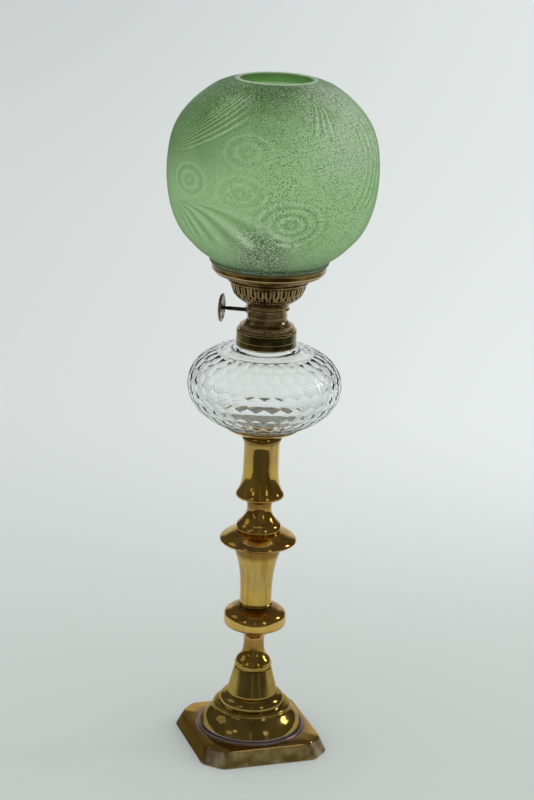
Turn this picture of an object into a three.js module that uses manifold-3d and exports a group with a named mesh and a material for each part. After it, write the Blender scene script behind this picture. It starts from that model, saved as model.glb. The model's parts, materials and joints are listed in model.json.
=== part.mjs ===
// A peg lamp: a small oil lamp with a moulded ball shade, whose brass peg stands in a candlestick.
// Millimetres, +Z up. The foot rests on z = 0, its sides lie along X and Y, and every turned piece
// shares the Z axis. The wick winder has its own turned group.

import * as THREE from 'three';
import { mergeVertices } from 'three/addons/utils/BufferGeometryUtils.js';
import Module from 'manifold-3d';

const wasm = await Module();
wasm.setup();

// Clearances
const fitGap = 0.3;
const seatGap = 0.1;
const overrun = 2;

// Facets round the turned pieces
const wideFacets = 28;
const turnedFacets = 20;
const smallFacets = 16;
const cogHoleSides = 12;

// Candlestick foot: a square plinth with canted corners, a bead, an ogee dome, a cushion and a cone
const footSide = 100.6;
const footTopSide = 90.2;
const footCant = 13.1;
const footTopCant = 10.9;
const plinthHeight = 12.4;
const footWall = 3.2;
const beadRadius = 41.5;
const domeRadius = 38.6;
const domeHeight = 18.2;
const cushionRadius = 25.3;
const cushionHeight = 9.7;
const coneRadius = 19.4;
const coneTopRadius = 14.2;
const coneHeight = 22.9;
const beadShares = [[1, 0], [0.995, 0.06], [0.97, 0.09], [0.945, 0.042], [0.93, 0.1]];
const domeShares = [[1, 0.1], [0.985, 0.22], [0.95, 0.41], [0.89, 0.605], [0.81, 0.79], [0.776, 0.9], [0.768, 1]];
const cushionShares = [[1.085, 0.15], [1, 0.21], [1, 0.38], [0.96, 0.62], [0.88, 0.85]];
const coneFootShare = 0.06;
const footHollowShares = [[0.87, 0.36], [0.8, 0.6], [0.69, 0.87], [0.57, 1.04]];

// The screw that holds the stem, with its nut and washer inside the foot
const screwRadius = 4;
const screwEnd = 3;
const footNutWidth = 13;
const footNutHeight = 5;
const footWasherRadius = 9;
const footWasherHeight = 1.2;

// Candlestick stem, from the foot to the nozzle, as turned sections
const capRadius = 14.5;
const capHeight = 9.3;
const neckRadius = 7.8;
const neckHeight = 20.3;
const lowerKnopRadius = 24;
const lowerKnopHeight = 19.6;
const filletRadius = 13.1;
const filletHeight = 4;
const barrelRadius = 18.9;
const barrelHeight = 46.8;
const upperKnopRadius = 29.5;
const upperKnopHeight = 11.6;
const bellRadius = 17.5;
const bellHeight = 26.2;
const capShares = [[0.93, 0], [1, 0.13], [1, 0.215], [0.965, 0.28], [0.97, 0.56], [0.9, 0.69], [0.7, 0.93]];
const neckShares = [[1.09, 0.2], [1, 0.47], [1.06, 0.69], [1.27, 0.86], [1.6, 1]];
const lowerKnopShares = [[0.9, 0.165], [0.965, 0.215], [1, 0.31], [1, 0.643], [0.93, 0.775], [0.76, 0.918],
  [0.55, 1]];
const filletShares = [[0.95, 0.12], [1, 0.38], [0.95, 0.65]];
const barrelShares = [[0.645, 0.035], [0.655, 0.28], [0.705, 0.5], [0.8, 0.707], [0.92, 0.86], [1, 1]];
const upperKnopShares = [[0.83, 0.06], [0.963, 0.155], [1, 0.267], [0.973, 0.44], [0.88, 0.647], [0.58, 1]];
const bellShares = [[1, 0.06], [0.949, 0.172], [0.8, 0.282], [0.6, 0.47], [0.526, 0.668], [0.549, 0.81],
  [0.663, 1]];
const spigotRadius = 5;
const spigotHeight = 6;

// Candle nozzle: a flanged foot and a waisted socket with the standard bore for a candle
const nozzleFlangeRadius = 18.4;
const nozzleHeight = 49.2;
const nozzleBore = 11;
const nozzleFloor = 7.8;
const nozzleBevel = 0.7;
const nozzleShares = [[0.946, 0], [1, 0.03], [0.984, 0.06], [0.886, 0.134], [0.8, 0.224], [0.75, 0.33],
  [0.728, 0.48], [0.735, 0.7], [0.77, 0.85], [0.82, 0.94], [0.82, 0.975], [0.79, 1]];

// Peg and dish under the glass font
const pegTopRadius = 10.6;
const pegEndRadius = 10;
const pegLength = 34.2;
const pegEndBevel = 1;
const pegFlangeRadius = 14;
const pegFlangeHeight = 1.7;
const pegRivetHeight = 1.6;
const dishRadius = 28.5;
const dishHeight = 6.3;
const dishWall = 0.9;
const dishShares = [[0.49, 0], [0.63, 0.07], [0.82, 0.34], [0.95, 0.62], [1, 0.85], [1, 1]];

// Glass font: squat, pressed all over with a honeycomb of hollowed facets
const fontRadius = 57.9;
const fontHeight = 61.8;
const fontFootRadius = 27.2;
const fontFootDip = 3.1;
const fontFootShares = [[0.62, 1], [0.85, 0.58], [0.97, 0.15]];
const combColumns = 28;
const combRows = 8;
const combDent = 0.45;
const combShares = [[0.51, 0], [0.6, 0.033], [0.69, 0.081], [0.79, 0.142], [0.855, 0.199], [0.915, 0.27],
  [0.96, 0.341], [0.988, 0.417], [1, 0.512], [0.989, 0.607], [0.955, 0.692], [0.89, 0.777], [0.8, 0.848],
  [0.7, 0.905], [0.62, 0.938]];
const fontShoulderShares = [[0.53, 0.953], [0.455, 0.965], [0.43, 0.986]];
const fontHollowShares = [[0.34, 0.945], [0.52, 0.9], [0.73, 0.82], [0.88, 0.69], [0.93, 0.512], [0.89, 0.34],
  [0.71, 0.155], [0.42, 0.066]];

// Threaded collar, plastered over the neck of the font
const collarRadius = 22.4;
const collarHeight = 12.9;
const collarWall = 0.8;
const collarSleeveRadius = 17.3;
const collarSleeveHeight = 10.4;
const collarShares = [[1, 0], [1, 0.34], [0.985, 0.37], [1, 0.4], [1, 0.8], [0.985, 0.83], [1, 0.86],
  [0.955, 1]];
const fontNeckWall = 1.7;
const fontNeckHeight = 9.6;

// Leather washer under the burner
const washerHeight = 0.8;
const washerWidth = 3;

// Burner body: a threaded skirt, a flange, a cove and a round neck with a bead
const skirtHeight = 10.2;
const burnerWall = 0.9;
const burnerFlangeRadius = 20.3;
const burnerFlangeHeight = 1.8;
const burnerNeckRadius = 14.9;
const burnerNeckTop = 17.6;
const burnerCoveHeight = 5;
const burnerBeadRadius = 16.5;
const burnerBeadHeight = 2.4;
const burnerBeadDrop = 4.3;
const burnerCoveShares = [[0.8, 0.1], [0.42, 0.3], [0.16, 0.58], [0, 1]];
const burnerBeadShares = [[0.45, 0.1], [1, 0.5], [0.45, 0.9]];

// Flat wick, its tube, and the winder that drives it
const wickWidth = 18.4;
const wickThickness = 1.8;
const wickLength = 54.2;
const wickShow = 1.2;
const tubeWall = 0.6;
const tubeGap = 1.1;
const tubeHeight = 50;
const cogRadius = 3.6;
const cogRootShare = 0.7;
const cogTeeth = 10;
const cogTipShare = 0.3;
const cogThickness = 1.6;
const cogSpacing = 9.2;
const cogWindowGap = 0.5;
const winderAngle = THREE.MathUtils.degToRad(151.7);
const spindleRadius = 1.5;
const spindleDrop = 7.3;
const spindleInnerReach = 11.8;
const bushRadius = 2.5;
const bushLength = 2.2;
const wheelRadius = 10.8;
const wheelThickness = 2.3;
const wheelReach = 34.2;
const wheelHubRadius = 3.2;
const wheelRimWidth = 2;
const wheelWeb = 0.7;
const wheelEdgeShare = 0.35;
const rivetHeight = 0.6;

// Pierced basket, its beaded rim, the air plate and the flame dome
const basketFootRadius = 15.8;
const basketRadius = 28.4;
const basketHeight = 17.8;
const basketWall = 0.8;
const basketShares = [[0, 0], [0.19, 0.1], [0.49, 0.26], [0.74, 0.44], [0.92, 0.7], [1, 1]];
const slotCount = 30;
const slotWidth = 1.5;
const slotBottomShare = 0.71;
const slotTopShare = 0.96;
const holeRadius = 0.85;
const holeSides = 6;
const holeHeightShare = 0.53;
const rimRadius = 30.9;
const rimHeight = 3.9;
const rimShares = [[0.95, 0], [0.99, 0.12], [0.99, 0.36], [0.965, 0.48], [1, 0.62], [1, 0.88], [0.97, 1]];
const platePlaceShare = 0.77;
const plateHeight = 0.8;
const domeBaseRadius = 16;
const flameDomeHeight = 17.5;
const flameDomeWall = 0.7;
const flameDomeShares = [[1, 0], [1, 0.38], [0.94, 0.66], [0.75, 0.87], [0.45, 0.97], [0, 1]];
const flameSlotLength = 22;
const flameSlotWidth = 5.4;

// Spring holder for a chimney
const holderRadius = 25.4;
const holderWall = 0.7;
const holderBand = 3.2;
const prongCount = 6;
const prongWidth = 5;
const prongHeight = 15.2;
const prongShares = [[0, 0], [0.25, 0.3], [0.3, 0.55], [0.05, 0.8], [0.2, 1]];
const prongBulge = 3;

// Shade ring: a spun dish with an upright lip
const ringRadius = 42.7;
const ringHeight = 9.1;
const ringWall = 0.8;
const ringHoleRadius = 28.3;
const ringShares = [[0.74, 0], [0.88, 0.12], [0.952, 0.31], [0.985, 0.56], [0.996, 0.8], [1, 1]];

// Ball shade: a fitter neck that stands in the ring, a bead, and a globe open at the top
const fitterPlay = 0.7;
const fitterShares = [[0.964, 0], [0.981, 0.2]];
const shadeBeadOverhang = 1.5;
const shadeBeadHeight = 2.9;
const shadeBeadRise = 0.9;
const shadeBeadShares = [[0.984, 0], [1, 0.48], [0.987, 1]];
const shadeRadius = 77.9;
const shadeHeight = 143.3;
const shadeWall = 2.8;
const lowerGlobeShares = [[0.075, 0.013], [0.196, 0.029], [0.323, 0.054], [0.468, 0.093], [0.621, 0.139],
  [0.75, 0.191], [0.852, 0.252], [0.928, 0.319], [0.977, 0.394], [1, 0.476]];
const upperGlobeShares = [[0.993, 0.543], [0.966, 0.62], [0.917, 0.695], [0.838, 0.762], [0.72, 0.829],
  [0.58, 0.889], [0.445, 0.935], [0.323, 0.964], [0.19, 0.984], [0.054, 1]];
const globeSteps = 12;
const shadeMouthRadius = 26.2;
const shadeMouthEdge = 1.2;

// Heights, each from the piece below
const footTop = plinthHeight + domeHeight + cushionHeight + coneHeight;
const footCeiling = plinthHeight + domeHeight * footHollowShares.at(-1)[1];
const stemHeights = [capHeight, neckHeight, lowerKnopHeight, filletHeight, barrelHeight, upperKnopHeight,
  bellHeight];
const stemTop = footTop + stemHeights.reduce((sum, height) => sum + height, 0);
const nozzleTop = stemTop + nozzleHeight;
const flangeBase = nozzleTop + seatGap;
const dishBase = flangeBase + pegFlangeHeight;
const fontBase = dishBase + dishHeight + fitGap;
const collarBase = fontBase + fontHeight + fitGap;
const collarTop = collarBase + collarHeight;
const washerBase = collarTop + seatGap;
const burnerBase = washerBase + washerHeight + seatGap;
const neckTop = burnerBase + burnerNeckTop;
const basketBase = neckTop + seatGap;
const basketTop = basketBase + basketHeight;
const plateBase = basketBase + basketHeight * platePlaceShare;
const rimTop = basketTop + rimHeight;
const spindleHeight = neckTop - spindleDrop;
const tubeTop = plateBase + flameDomeHeight - flameDomeWall - tubeGap;

// Finishes
const brass = new THREE.MeshStandardMaterial({ color: 0x8a6a35, roughness: 0.28, metalness: 1 });
const darkBrass = new THREE.MeshStandardMaterial({ color: 0x55431f, roughness: 0.35, metalness: 1 });
const steel = new THREE.MeshStandardMaterial({ color: 0x77777a, roughness: 0.5, metalness: 1 });
const clearGlass = new THREE.MeshStandardMaterial({ color: 0xdfe6e2, roughness: 0.05, metalness: 0 });
const greenGlass = new THREE.MeshStandardMaterial({ color: 0x7fa274, roughness: 0.35, metalness: 0 });
const plaster = new THREE.MeshStandardMaterial({ color: 0xd9d4c6, roughness: 0.9, metalness: 0 });
const leather = new THREE.MeshStandardMaterial({ color: 0x4a3524, roughness: 0.8, metalness: 0 });
const cotton = new THREE.MeshStandardMaterial({ color: 0xe6dfcc, roughness: 0.95, metalness: 0 });

// Drops normals and uvs, joins shared corners and leaves out faces that have shrunk to a line
function welded(geometry) {
  const bare = geometry.clone();
  bare.deleteAttribute('normal');
  bare.deleteAttribute('uv');
  const joined = mergeVertices(bare, 1e-4);
  const kept = [];
  const index = joined.index.array;
  for (let i = 0; i < index.length; i += 3) {
    const [a, b, c] = [index[i], index[i + 1], index[i + 2]];
    if (a !== b && b !== c && c !== a) kept.push(a, b, c);
  }
  joined.setIndex(kept);
  return joined;
}

function solid(geometry) {
  const mesh = welded(geometry);
  return new wasm.Manifold(new wasm.Mesh({
    numProp: 3,
    vertProperties: new Float32Array(mesh.attributes.position.array),
    triVerts: new Uint32Array(mesh.index.array),
  }));
}

function geometryOf(manifold) {
  const mesh = manifold.getMesh();
  const geometry = new THREE.BufferGeometry();
  geometry.setAttribute('position', new THREE.BufferAttribute(mesh.vertProperties, 3));
  geometry.setIndex(new THREE.BufferAttribute(mesh.triVerts, 1));
  return geometry;
}

// Points of a turned outline: shares of a radius and of a height, from a base up
function shaped(shares, radius, height, base, innerRadius = 0) {
  return shares.map(([across, up]) => new THREE.Vector2(
    innerRadius + across * (radius - innerRadius), base + up * height));
}

function at(radius, height) {
  return new THREE.Vector2(radius, height);
}

function smooth(points, steps) {
  return new THREE.SplineCurve(points).getPoints(steps);
}

// The height or radius at which a climbing line crosses a given radius or height
function crossing(line, given, value, sought) {
  const past = line.findIndex((point) => point[given] > value);
  const next = THREE.MathUtils.clamp(past, 1, line.length - 1);
  const [a, b] = [line[next - 1], line[next]];
  const share = (value - a[given]) / (b[given] - a[given]);
  return a[sought] + share * (b[sought] - a[sought]);
}

// The same line moved to its left by a wall, which is inwards for a line that climbs
function inset(points, wall) {
  return points.map((point, i) => {
    const before = points[Math.max(i - 1, 0)];
    const after = points[Math.min(i + 1, points.length - 1)];
    const along = after.clone().sub(before).normalize();
    return at(point.x - along.y * wall, point.y + along.x * wall);
  });
}

// A wall of even thickness along a line that climbs on its outside
function shell(points, wall) {
  return [...points, ...inset(points, wall).reverse()];
}

// Turns an outline, which climbs on its outside, about the Z axis
function turned(outline, facets) {
  const first = outline[0];
  const last = outline[outline.length - 1];
  const closed = first.x === 0 && last.x === 0 ? outline : [...outline, first.clone()];
  return new THREE.LatheGeometry(closed, facets).rotateX(Math.PI / 2);
}

function cylinder(radius, length, facets) {
  return new THREE.CylinderGeometry(radius, radius, length, facets).rotateX(Math.PI / 2);
}

function block(length, width, height) {
  return new THREE.BoxGeometry(length, width, height);
}

// Corners of a square with canted corners, anticlockwise
function cantedSquare(side, cant) {
  const half = side / 2;
  const short = half - cant;
  return [[half, -short], [half, short], [short, half], [-short, half], [-half, short], [-half, -short],
    [-short, -half], [short, -half]];
}

// A straight-sided solid between a lower and an upper outline with as many corners
function frustum(lower, upper, base, height) {
  const count = lower.length;
  const places = [...lower.map(([x, y]) => [x, y, base]), ...upper.map(([x, y]) => [x, y, base + height])];
  const faces = [];
  for (let i = 0; i < count; i += 1) {
    const next = (i + 1) % count;
    faces.push(i, next, count + next, i, count + next, count + i);
  }
  for (let i = 1; i < count - 1; i += 1) {
    faces.push(0, i + 1, i, count, count + i, count + i + 1);
  }
  const geometry = new THREE.BufferGeometry();
  geometry.setAttribute('position', new THREE.Float32BufferAttribute(places.flat(), 3));
  geometry.setIndex(faces);
  return geometry;
}

const lamp = new THREE.Group();
const winder = new THREE.Group();
winder.rotation.z = winderAngle;
lamp.add(winder);

function add(name, geometry, finish, group = lamp) {
  const mesh = new THREE.Mesh(welded(geometry), finish.clone());
  mesh.name = name;
  group.add(mesh);
}

// Foot of the candlestick, cast hollow, with a boss under its top for the stem's screw
function candlestickBase() {
  const domeBase = plinthHeight;
  const cushionBase = domeBase + domeHeight;
  const coneBase = cushionBase + cushionHeight;
  const plinth = frustum(cantedSquare(footSide, footCant), cantedSquare(footTopSide, footTopCant), 0,
    plinthHeight);
  const upper = turned([
    at(0, domeBase - footWall / 2),
    at(beadRadius, domeBase - footWall / 2),
    ...shaped(beadShares, beadRadius, domeHeight, domeBase),
    ...shaped(domeShares, domeRadius, domeHeight, domeBase),
    ...shaped(cushionShares, cushionRadius, cushionHeight, cushionBase),
    at(coneRadius, coneBase),
    at(coneRadius, coneBase + coneFootShare * coneHeight),
    at(coneTopRadius, footTop),
    at(0, footTop),
  ], wideFacets);
  const inside = footSide - 2 * footWall;
  const insideTop = footTopSide - 2 * footWall;
  const tray = frustum(cantedSquare(inside, footCant), cantedSquare(insideTop, footTopCant), -overrun,
    plinthHeight - footWall + overrun);
  const hollow = turned([
    at(0, 0),
    at(domeRadius * footHollowShares[0][0], 0),
    ...shaped(footHollowShares, domeRadius, domeHeight, domeBase),
    at(0, footCeiling),
  ], smallFacets);
  const bore = cylinder(screwRadius + fitGap, 2 * (footTop - footCeiling + overrun), smallFacets)
    .translate(0, 0, footTop);
  const cast = solid(plinth).add(solid(upper)).subtract(solid(tray)).subtract(solid(hollow))
    .subtract(solid(bore));
  add('candlestick_base', geometryOf(cast), brass);
}

// The stem's screw comes down through the boss and takes a washer and a nut
function footFixings() {
  const washerTop = footCeiling - seatGap;
  const nutTop = washerTop - footWasherHeight - seatGap;
  const washer = turned([
    at(screwRadius + fitGap, washerTop - footWasherHeight),
    at(footWasherRadius, washerTop - footWasherHeight),
    at(footWasherRadius, washerTop),
    at(screwRadius + fitGap, washerTop),
  ], smallFacets);
  add('base_washer', washer, steel);
  const hexagon = new THREE.Shape();
  const corner = footNutWidth / Math.sqrt(3);
  for (let i = 0; i < 6; i += 1) {
    const angle = i * Math.PI / 3;
    const place = [corner * Math.cos(angle), corner * Math.sin(angle)];
    if (i === 0) hexagon.moveTo(...place);
    else hexagon.lineTo(...place);
  }
  hexagon.closePath();
  const hole = new THREE.Path();
  hole.absarc(0, 0, screwRadius + fitGap, 0, 2 * Math.PI, true);
  hexagon.holes.push(hole);
  const nut = new THREE.ExtrudeGeometry(hexagon, {
    depth: footNutHeight, bevelEnabled: false, curveSegments: smallFacets / 2,
  });
  add('base_nut', nut.translate(0, 0, nutTop - footNutHeight), steel);
  return nutTop - footNutHeight;
}

// Turned stem: cap, neck, lower knop, fillet, barrel, upper knop and bell, with a screw and a spigot
function candlestickStem(screwBottom) {
  const radii = [capRadius, neckRadius, lowerKnopRadius, filletRadius, barrelRadius, upperKnopRadius,
    bellRadius];
  const tables = [capShares, neckShares, lowerKnopShares, filletShares, barrelShares, upperKnopShares,
    bellShares];
  const outline = [at(0, screwBottom - screwEnd), at(screwRadius, screwBottom - screwEnd),
    at(screwRadius, footTop)];
  let height = footTop;
  tables.forEach((shares, i) => {
    outline.push(...shaped(shares, radii[i], stemHeights[i], height));
    height += stemHeights[i];
  });
  outline.push(at(spigotRadius, stemTop), at(spigotRadius, stemTop + spigotHeight),
    at(0, stemTop + spigotHeight));
  add('candlestick_stem', turned(outline, turnedFacets), brass);
}

function candleNozzle() {
  add('candle_nozzle', turned([
    at(spigotRadius + fitGap, stemTop),
    ...shaped(nozzleShares, nozzleFlangeRadius, nozzleHeight, stemTop),
    at(nozzleBore + nozzleBevel, nozzleTop),
    at(nozzleBore, nozzleTop - nozzleBevel),
    at(nozzleBore, stemTop + nozzleFloor),
    at(spigotRadius + fitGap, stemTop + nozzleFloor),
  ], turnedFacets), brass);
}

// Tapered peg with a flange that rests on the nozzle, riveted through the dish
function lampPeg() {
  add('lamp_peg', turned([
    at(0, flangeBase - pegLength),
    at(pegEndRadius - pegEndBevel, flangeBase - pegLength),
    at(pegEndRadius, flangeBase - pegLength + pegEndBevel),
    at(pegTopRadius, flangeBase),
    at(pegFlangeRadius, flangeBase),
    at(pegFlangeRadius, dishBase),
    at(spigotRadius, dishBase),
    at(spigotRadius, dishBase + pegRivetHeight),
    at(0, dishBase + pegRivetHeight),
  ], turnedFacets), brass);
}

function dishLine() {
  return [at(spigotRadius + fitGap, dishBase), ...shaped(dishShares, dishRadius, dishHeight, dishBase)];
}

// The underside of the font where it dips into the dish
function fontFootLine() {
  return shaped(fontFootShares, fontFootRadius, -fontFootDip, fontBase);
}

function pegDish() {
  add('peg_dish', turned(shell(dishLine(), dishWall), turnedFacets), brass);
  const seat = inset(dishLine(), dishWall + seatGap).slice(0, 4);
  const foot = fontFootLine();
  const innerRadius = spigotRadius + fitGap;
  add('peg_cement', turned([
    at(innerRadius, seat[0].y),
    ...seat.slice(1),
    at(foot[1].x, foot[1].y - seatGap),
    at(foot[0].x, foot[0].y - seatGap),
    at(innerRadius, foot[0].y - seatGap),
  ], turnedFacets), plaster);
}

// Rings of corners for the honeycombed font, each on the outline at a share of its length
function combRing(curve, share, halfStep) {
  const point = curve.getPointAt(THREE.MathUtils.clamp(share, 0, 1));
  return ringOf(point, halfStep);
}

function ringOf(point, halfStep) {
  const ring = [];
  for (let i = 0; i < combColumns; i += 1) {
    const angle = 2 * Math.PI * (i + halfStep / 2) / combColumns;
    ring.push([point.x * Math.cos(angle), point.x * Math.sin(angle), point.y]);
  }
  return ring;
}

function fontGlass() {
  const places = [];
  const faces = [];
  const put = (ring) => {
    const start = places.length;
    places.push(...ring);
    return start;
  };
  const wrap = (i) => (i + combColumns) % combColumns;
  const strip = (low, high) => {
    for (let i = 0; i < combColumns; i += 1) {
      const next = wrap(i + 1);
      faces.push(low + i, low + next, high + next, low + i, high + next, high + i);
    }
  };
  const curve = new THREE.SplineCurve(shaped(combShares, fontRadius, fontHeight, fontBase));
  const pitch = 1 / (combRows + 1 / 3);
  const centreOf = (row) => pitch * (row + 2 / 3);
  // Lower and upper side corners of each row, with the tips of the rows below and above
  const lowRings = [];
  const highRings = [];
  highRings[-1] = put(combRing(curve, centreOf(-1) + pitch / 3, 1));
  for (let row = 0; row < combRows; row += 1) {
    const half = row % 2;
    lowRings[row] = put(combRing(curve, centreOf(row) - pitch / 3, half));
    highRings[row] = put(combRing(curve, centreOf(row) + pitch / 3, half));
  }
  lowRings[combRows] = put(combRing(curve, centreOf(combRows) - pitch / 3, combRows % 2));
  for (let row = 0; row < combRows; row += 1) {
    const half = row % 2;
    const centre = curve.getPointAt(centreOf(row));
    const tangent = curve.getTangentAt(centreOf(row));
    const pressed = at(centre.x - tangent.y * combDent, centre.y + tangent.x * combDent);
    const centres = put(ringOf(pressed, half + 1));
    for (let i = 0; i < combColumns; i += 1) {
      const next = wrap(i + 1);
      const tip = half === 0 ? i : next;
      const corners = [lowRings[row] + i, highRings[row - 1] + tip, lowRings[row] + next,
        highRings[row] + next, lowRings[row + 1] + tip, highRings[row] + i];
      corners.forEach((corner, k) => faces.push(centres + i, corner, corners[(k + 1) % 6]));
    }
  }
  // Half facets that level off the first and the last row
  for (let i = 0; i < combColumns; i += 1) {
    const next = wrap(i + 1);
    faces.push(highRings[-1] + i, highRings[-1] + next, lowRings[0] + next);
    const half = (combRows - 1) % 2;
    const tip = half === 0 ? i : next;
    const before = half === 0 ? wrap(i - 1) : i;
    faces.push(highRings[combRows - 1] + i, lowRings[combRows] + tip, lowRings[combRows] + before);
  }
  // Below the comb the glass dips into the dish, above it runs to the neck and then down inside
  const footRings = fontFootLine().map((point) => put(ringOf(point, 1)));
  const lip = at(fontFootRadius, fontBase);
  const chain = [...footRings, put(ringOf(lip, 1)), highRings[-1]];
  chain.slice(1).forEach((ring, i) => strip(chain[i], ring));
  const footPole = places.push([0, 0, fontFootLine()[0].y]) - 1;
  const topHalf = combRows % 2;
  const neckOuter = collarRadius - collarWall - fitGap * 2;
  const neckInner = neckOuter - fontNeckWall;
  const neckEnd = collarBase + fontNeckHeight;
  const upward = [
    ...shaped(fontShoulderShares, fontRadius, fontHeight, fontBase),
    at(neckOuter, collarBase - fitGap),
    at(neckOuter, neckEnd),
    at(neckInner, neckEnd),
    ...shaped(fontHollowShares, fontRadius, fontHeight, fontBase),
  ];
  const path = [lowRings[combRows], ...upward.map((point) => put(ringOf(point, topHalf)))];
  path.slice(1).forEach((ring, i) => strip(path[i], ring));
  const floorPole = places.push([0, 0, fontBase + fontHeight * fontHollowShares.at(-1)[1]]) - 1;
  for (let i = 0; i < combColumns; i += 1) {
    const next = wrap(i + 1);
    faces.push(footPole, footRings[0] + next, footRings[0] + i);
    faces.push(floorPole, path.at(-1) + i, path.at(-1) + next);
  }
  const geometry = new THREE.BufferGeometry();
  geometry.setAttribute('position', new THREE.Float32BufferAttribute(places.flat(), 3));
  geometry.setIndex(faces);
  add('font_glass', geometry, clearGlass);
}

// U-shaped collar: an outer skirt over the glass neck and a threaded sleeve inside it
function collar() {
  const skirtInside = collarRadius - collarWall;
  const sleeveOutside = collarSleeveRadius + collarWall;
  add('collar', turned([
    at(skirtInside, collarBase),
    ...shaped(collarShares, collarRadius, collarHeight, collarBase),
    at(collarSleeveRadius, collarTop),
    at(collarSleeveRadius, collarTop - collarSleeveHeight),
    at(sleeveOutside, collarTop - collarSleeveHeight),
    at(sleeveOutside, collarTop - collarWall),
    at(skirtInside, collarTop - collarWall),
  ], turnedFacets), darkBrass);
  const cementBase = collarBase + fontNeckHeight + seatGap;
  const cementTop = collarTop - collarWall - seatGap;
  add('collar_cement', turned([
    at(sleeveOutside + fitGap, cementBase),
    at(skirtInside - fitGap, cementBase),
    at(skirtInside - fitGap, cementTop),
    at(sleeveOutside + fitGap, cementTop),
  ], turnedFacets), plaster);
}

function sealingWasher() {
  const inner = collarSleeveRadius - fitGap / 2;
  add('sealing_washer', turned([
    at(inner, washerBase),
    at(inner + washerWidth, washerBase),
    at(inner + washerWidth, washerBase + washerHeight),
    at(inner, washerBase + washerHeight),
  ], turnedFacets), leather);
}

// Sizes that the burner's pieces share
const tubeInside = [wickWidth + 2 * fitGap, wickThickness + 2 * fitGap + (cogRadius - 2 * fitGap) / 4];
const tubeOutside = tubeInside.map((side) => side + 2 * tubeWall);
const wickFace = tubeInside[1] / 2 - fitGap - wickThickness;
const cogOffset = wickFace - fitGap - cogRadius;

function burnerBody() {
  const skirtRadius = collarSleeveRadius - 1.5 * fitGap;
  const flangeTop = burnerBase + burnerFlangeHeight;
  const coveTop = flangeTop + burnerCoveHeight;
  const neckInside = burnerNeckRadius - burnerWall;
  const beadBase = neckTop - burnerBeadDrop;
  const body = turned([
    at(0, neckTop - burnerWall),
    at(neckInside, neckTop - burnerWall),
    at(neckInside, coveTop),
    at(skirtRadius - burnerWall, flangeTop - burnerWall),
    at(skirtRadius - burnerWall, burnerBase - skirtHeight),
    at(skirtRadius, burnerBase - skirtHeight),
    at(skirtRadius, burnerBase),
    at(burnerFlangeRadius, burnerBase),
    at(burnerFlangeRadius, flangeTop),
    ...shaped(burnerCoveShares, burnerFlangeRadius, burnerCoveHeight, flangeTop, burnerNeckRadius),
    at(burnerNeckRadius, beadBase),
    ...shaped(burnerBeadShares, burnerBeadRadius, burnerBeadHeight, beadBase, burnerNeckRadius),
    at(burnerNeckRadius, beadBase + burnerBeadHeight),
    at(burnerNeckRadius, neckTop),
    at(0, neckTop),
  ], turnedFacets);
  const slot = block(tubeOutside[0] + 2 * fitGap, tubeOutside[1] + 2 * fitGap, 2 * overrun)
    .translate(0, 0, neckTop);
  const reach = burnerNeckRadius + overrun;
  const spindleHole = cylinder(spindleRadius + fitGap, reach, smallFacets).rotateY(Math.PI / 2)
    .translate(reach / 2, cogOffset, spindleHeight);
  const cut = solid(body).subtract(solid(slot)).subtract(solid(spindleHole));
  add('burner_body', geometryOf(cut), darkBrass, winder);
}

// Flat tube with two windows through which the cogs reach the wick
function wickTube() {
  const middle = tubeTop - tubeHeight / 2;
  const outside = block(...tubeOutside, tubeHeight).translate(0, 0, middle);
  const inside = block(...tubeInside, tubeHeight + 2 * overrun).translate(0, 0, middle);
  let tube = solid(outside).subtract(solid(inside));
  for (const side of [-1, 1]) {
    const window = block(cogThickness + 2 * cogWindowGap, tubeOutside[1], 2 * (cogRadius + cogWindowGap))
      .translate(side * cogSpacing / 2, -tubeOutside[1] / 2, spindleHeight);
    tube = tube.subtract(solid(window));
  }
  add('wick_tube', geometryOf(tube), darkBrass, winder);
  const wick = block(wickWidth, wickThickness, wickLength)
    .translate(0, wickFace + wickThickness / 2, tubeTop + wickShow - wickLength / 2);
  add('wick', wick, cotton, winder);
}

// A cog that is a star of blunt teeth, drawn in the plane square to the spindle
function cogGeometry() {
  const star = new THREE.Shape();
  const step = 2 * Math.PI / cogTeeth;
  const root = cogRadius * cogRootShare;
  for (let i = 0; i < cogTeeth; i += 1) {
    const angle = i * step;
    const corners = [[root, -0.5], [cogRadius, -cogTipShare / 2], [cogRadius, cogTipShare / 2]];
    corners.forEach(([radius, share], k) => {
      const place = [radius * Math.cos(angle + share * step), radius * Math.sin(angle + share * step)];
      if (i === 0 && k === 0) star.moveTo(...place);
      else star.lineTo(...place);
    });
  }
  star.closePath();
  const hole = new THREE.Path();
  hole.absarc(0, 0, spindleRadius + fitGap, 0, 2 * Math.PI, true);
  star.holes.push(hole);
  return new THREE.ExtrudeGeometry(star, {
    depth: cogThickness, bevelEnabled: false, curveSegments: cogHoleSides / 2,
  }).translate(0, 0, -cogThickness / 2).rotateY(Math.PI / 2);
}

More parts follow.
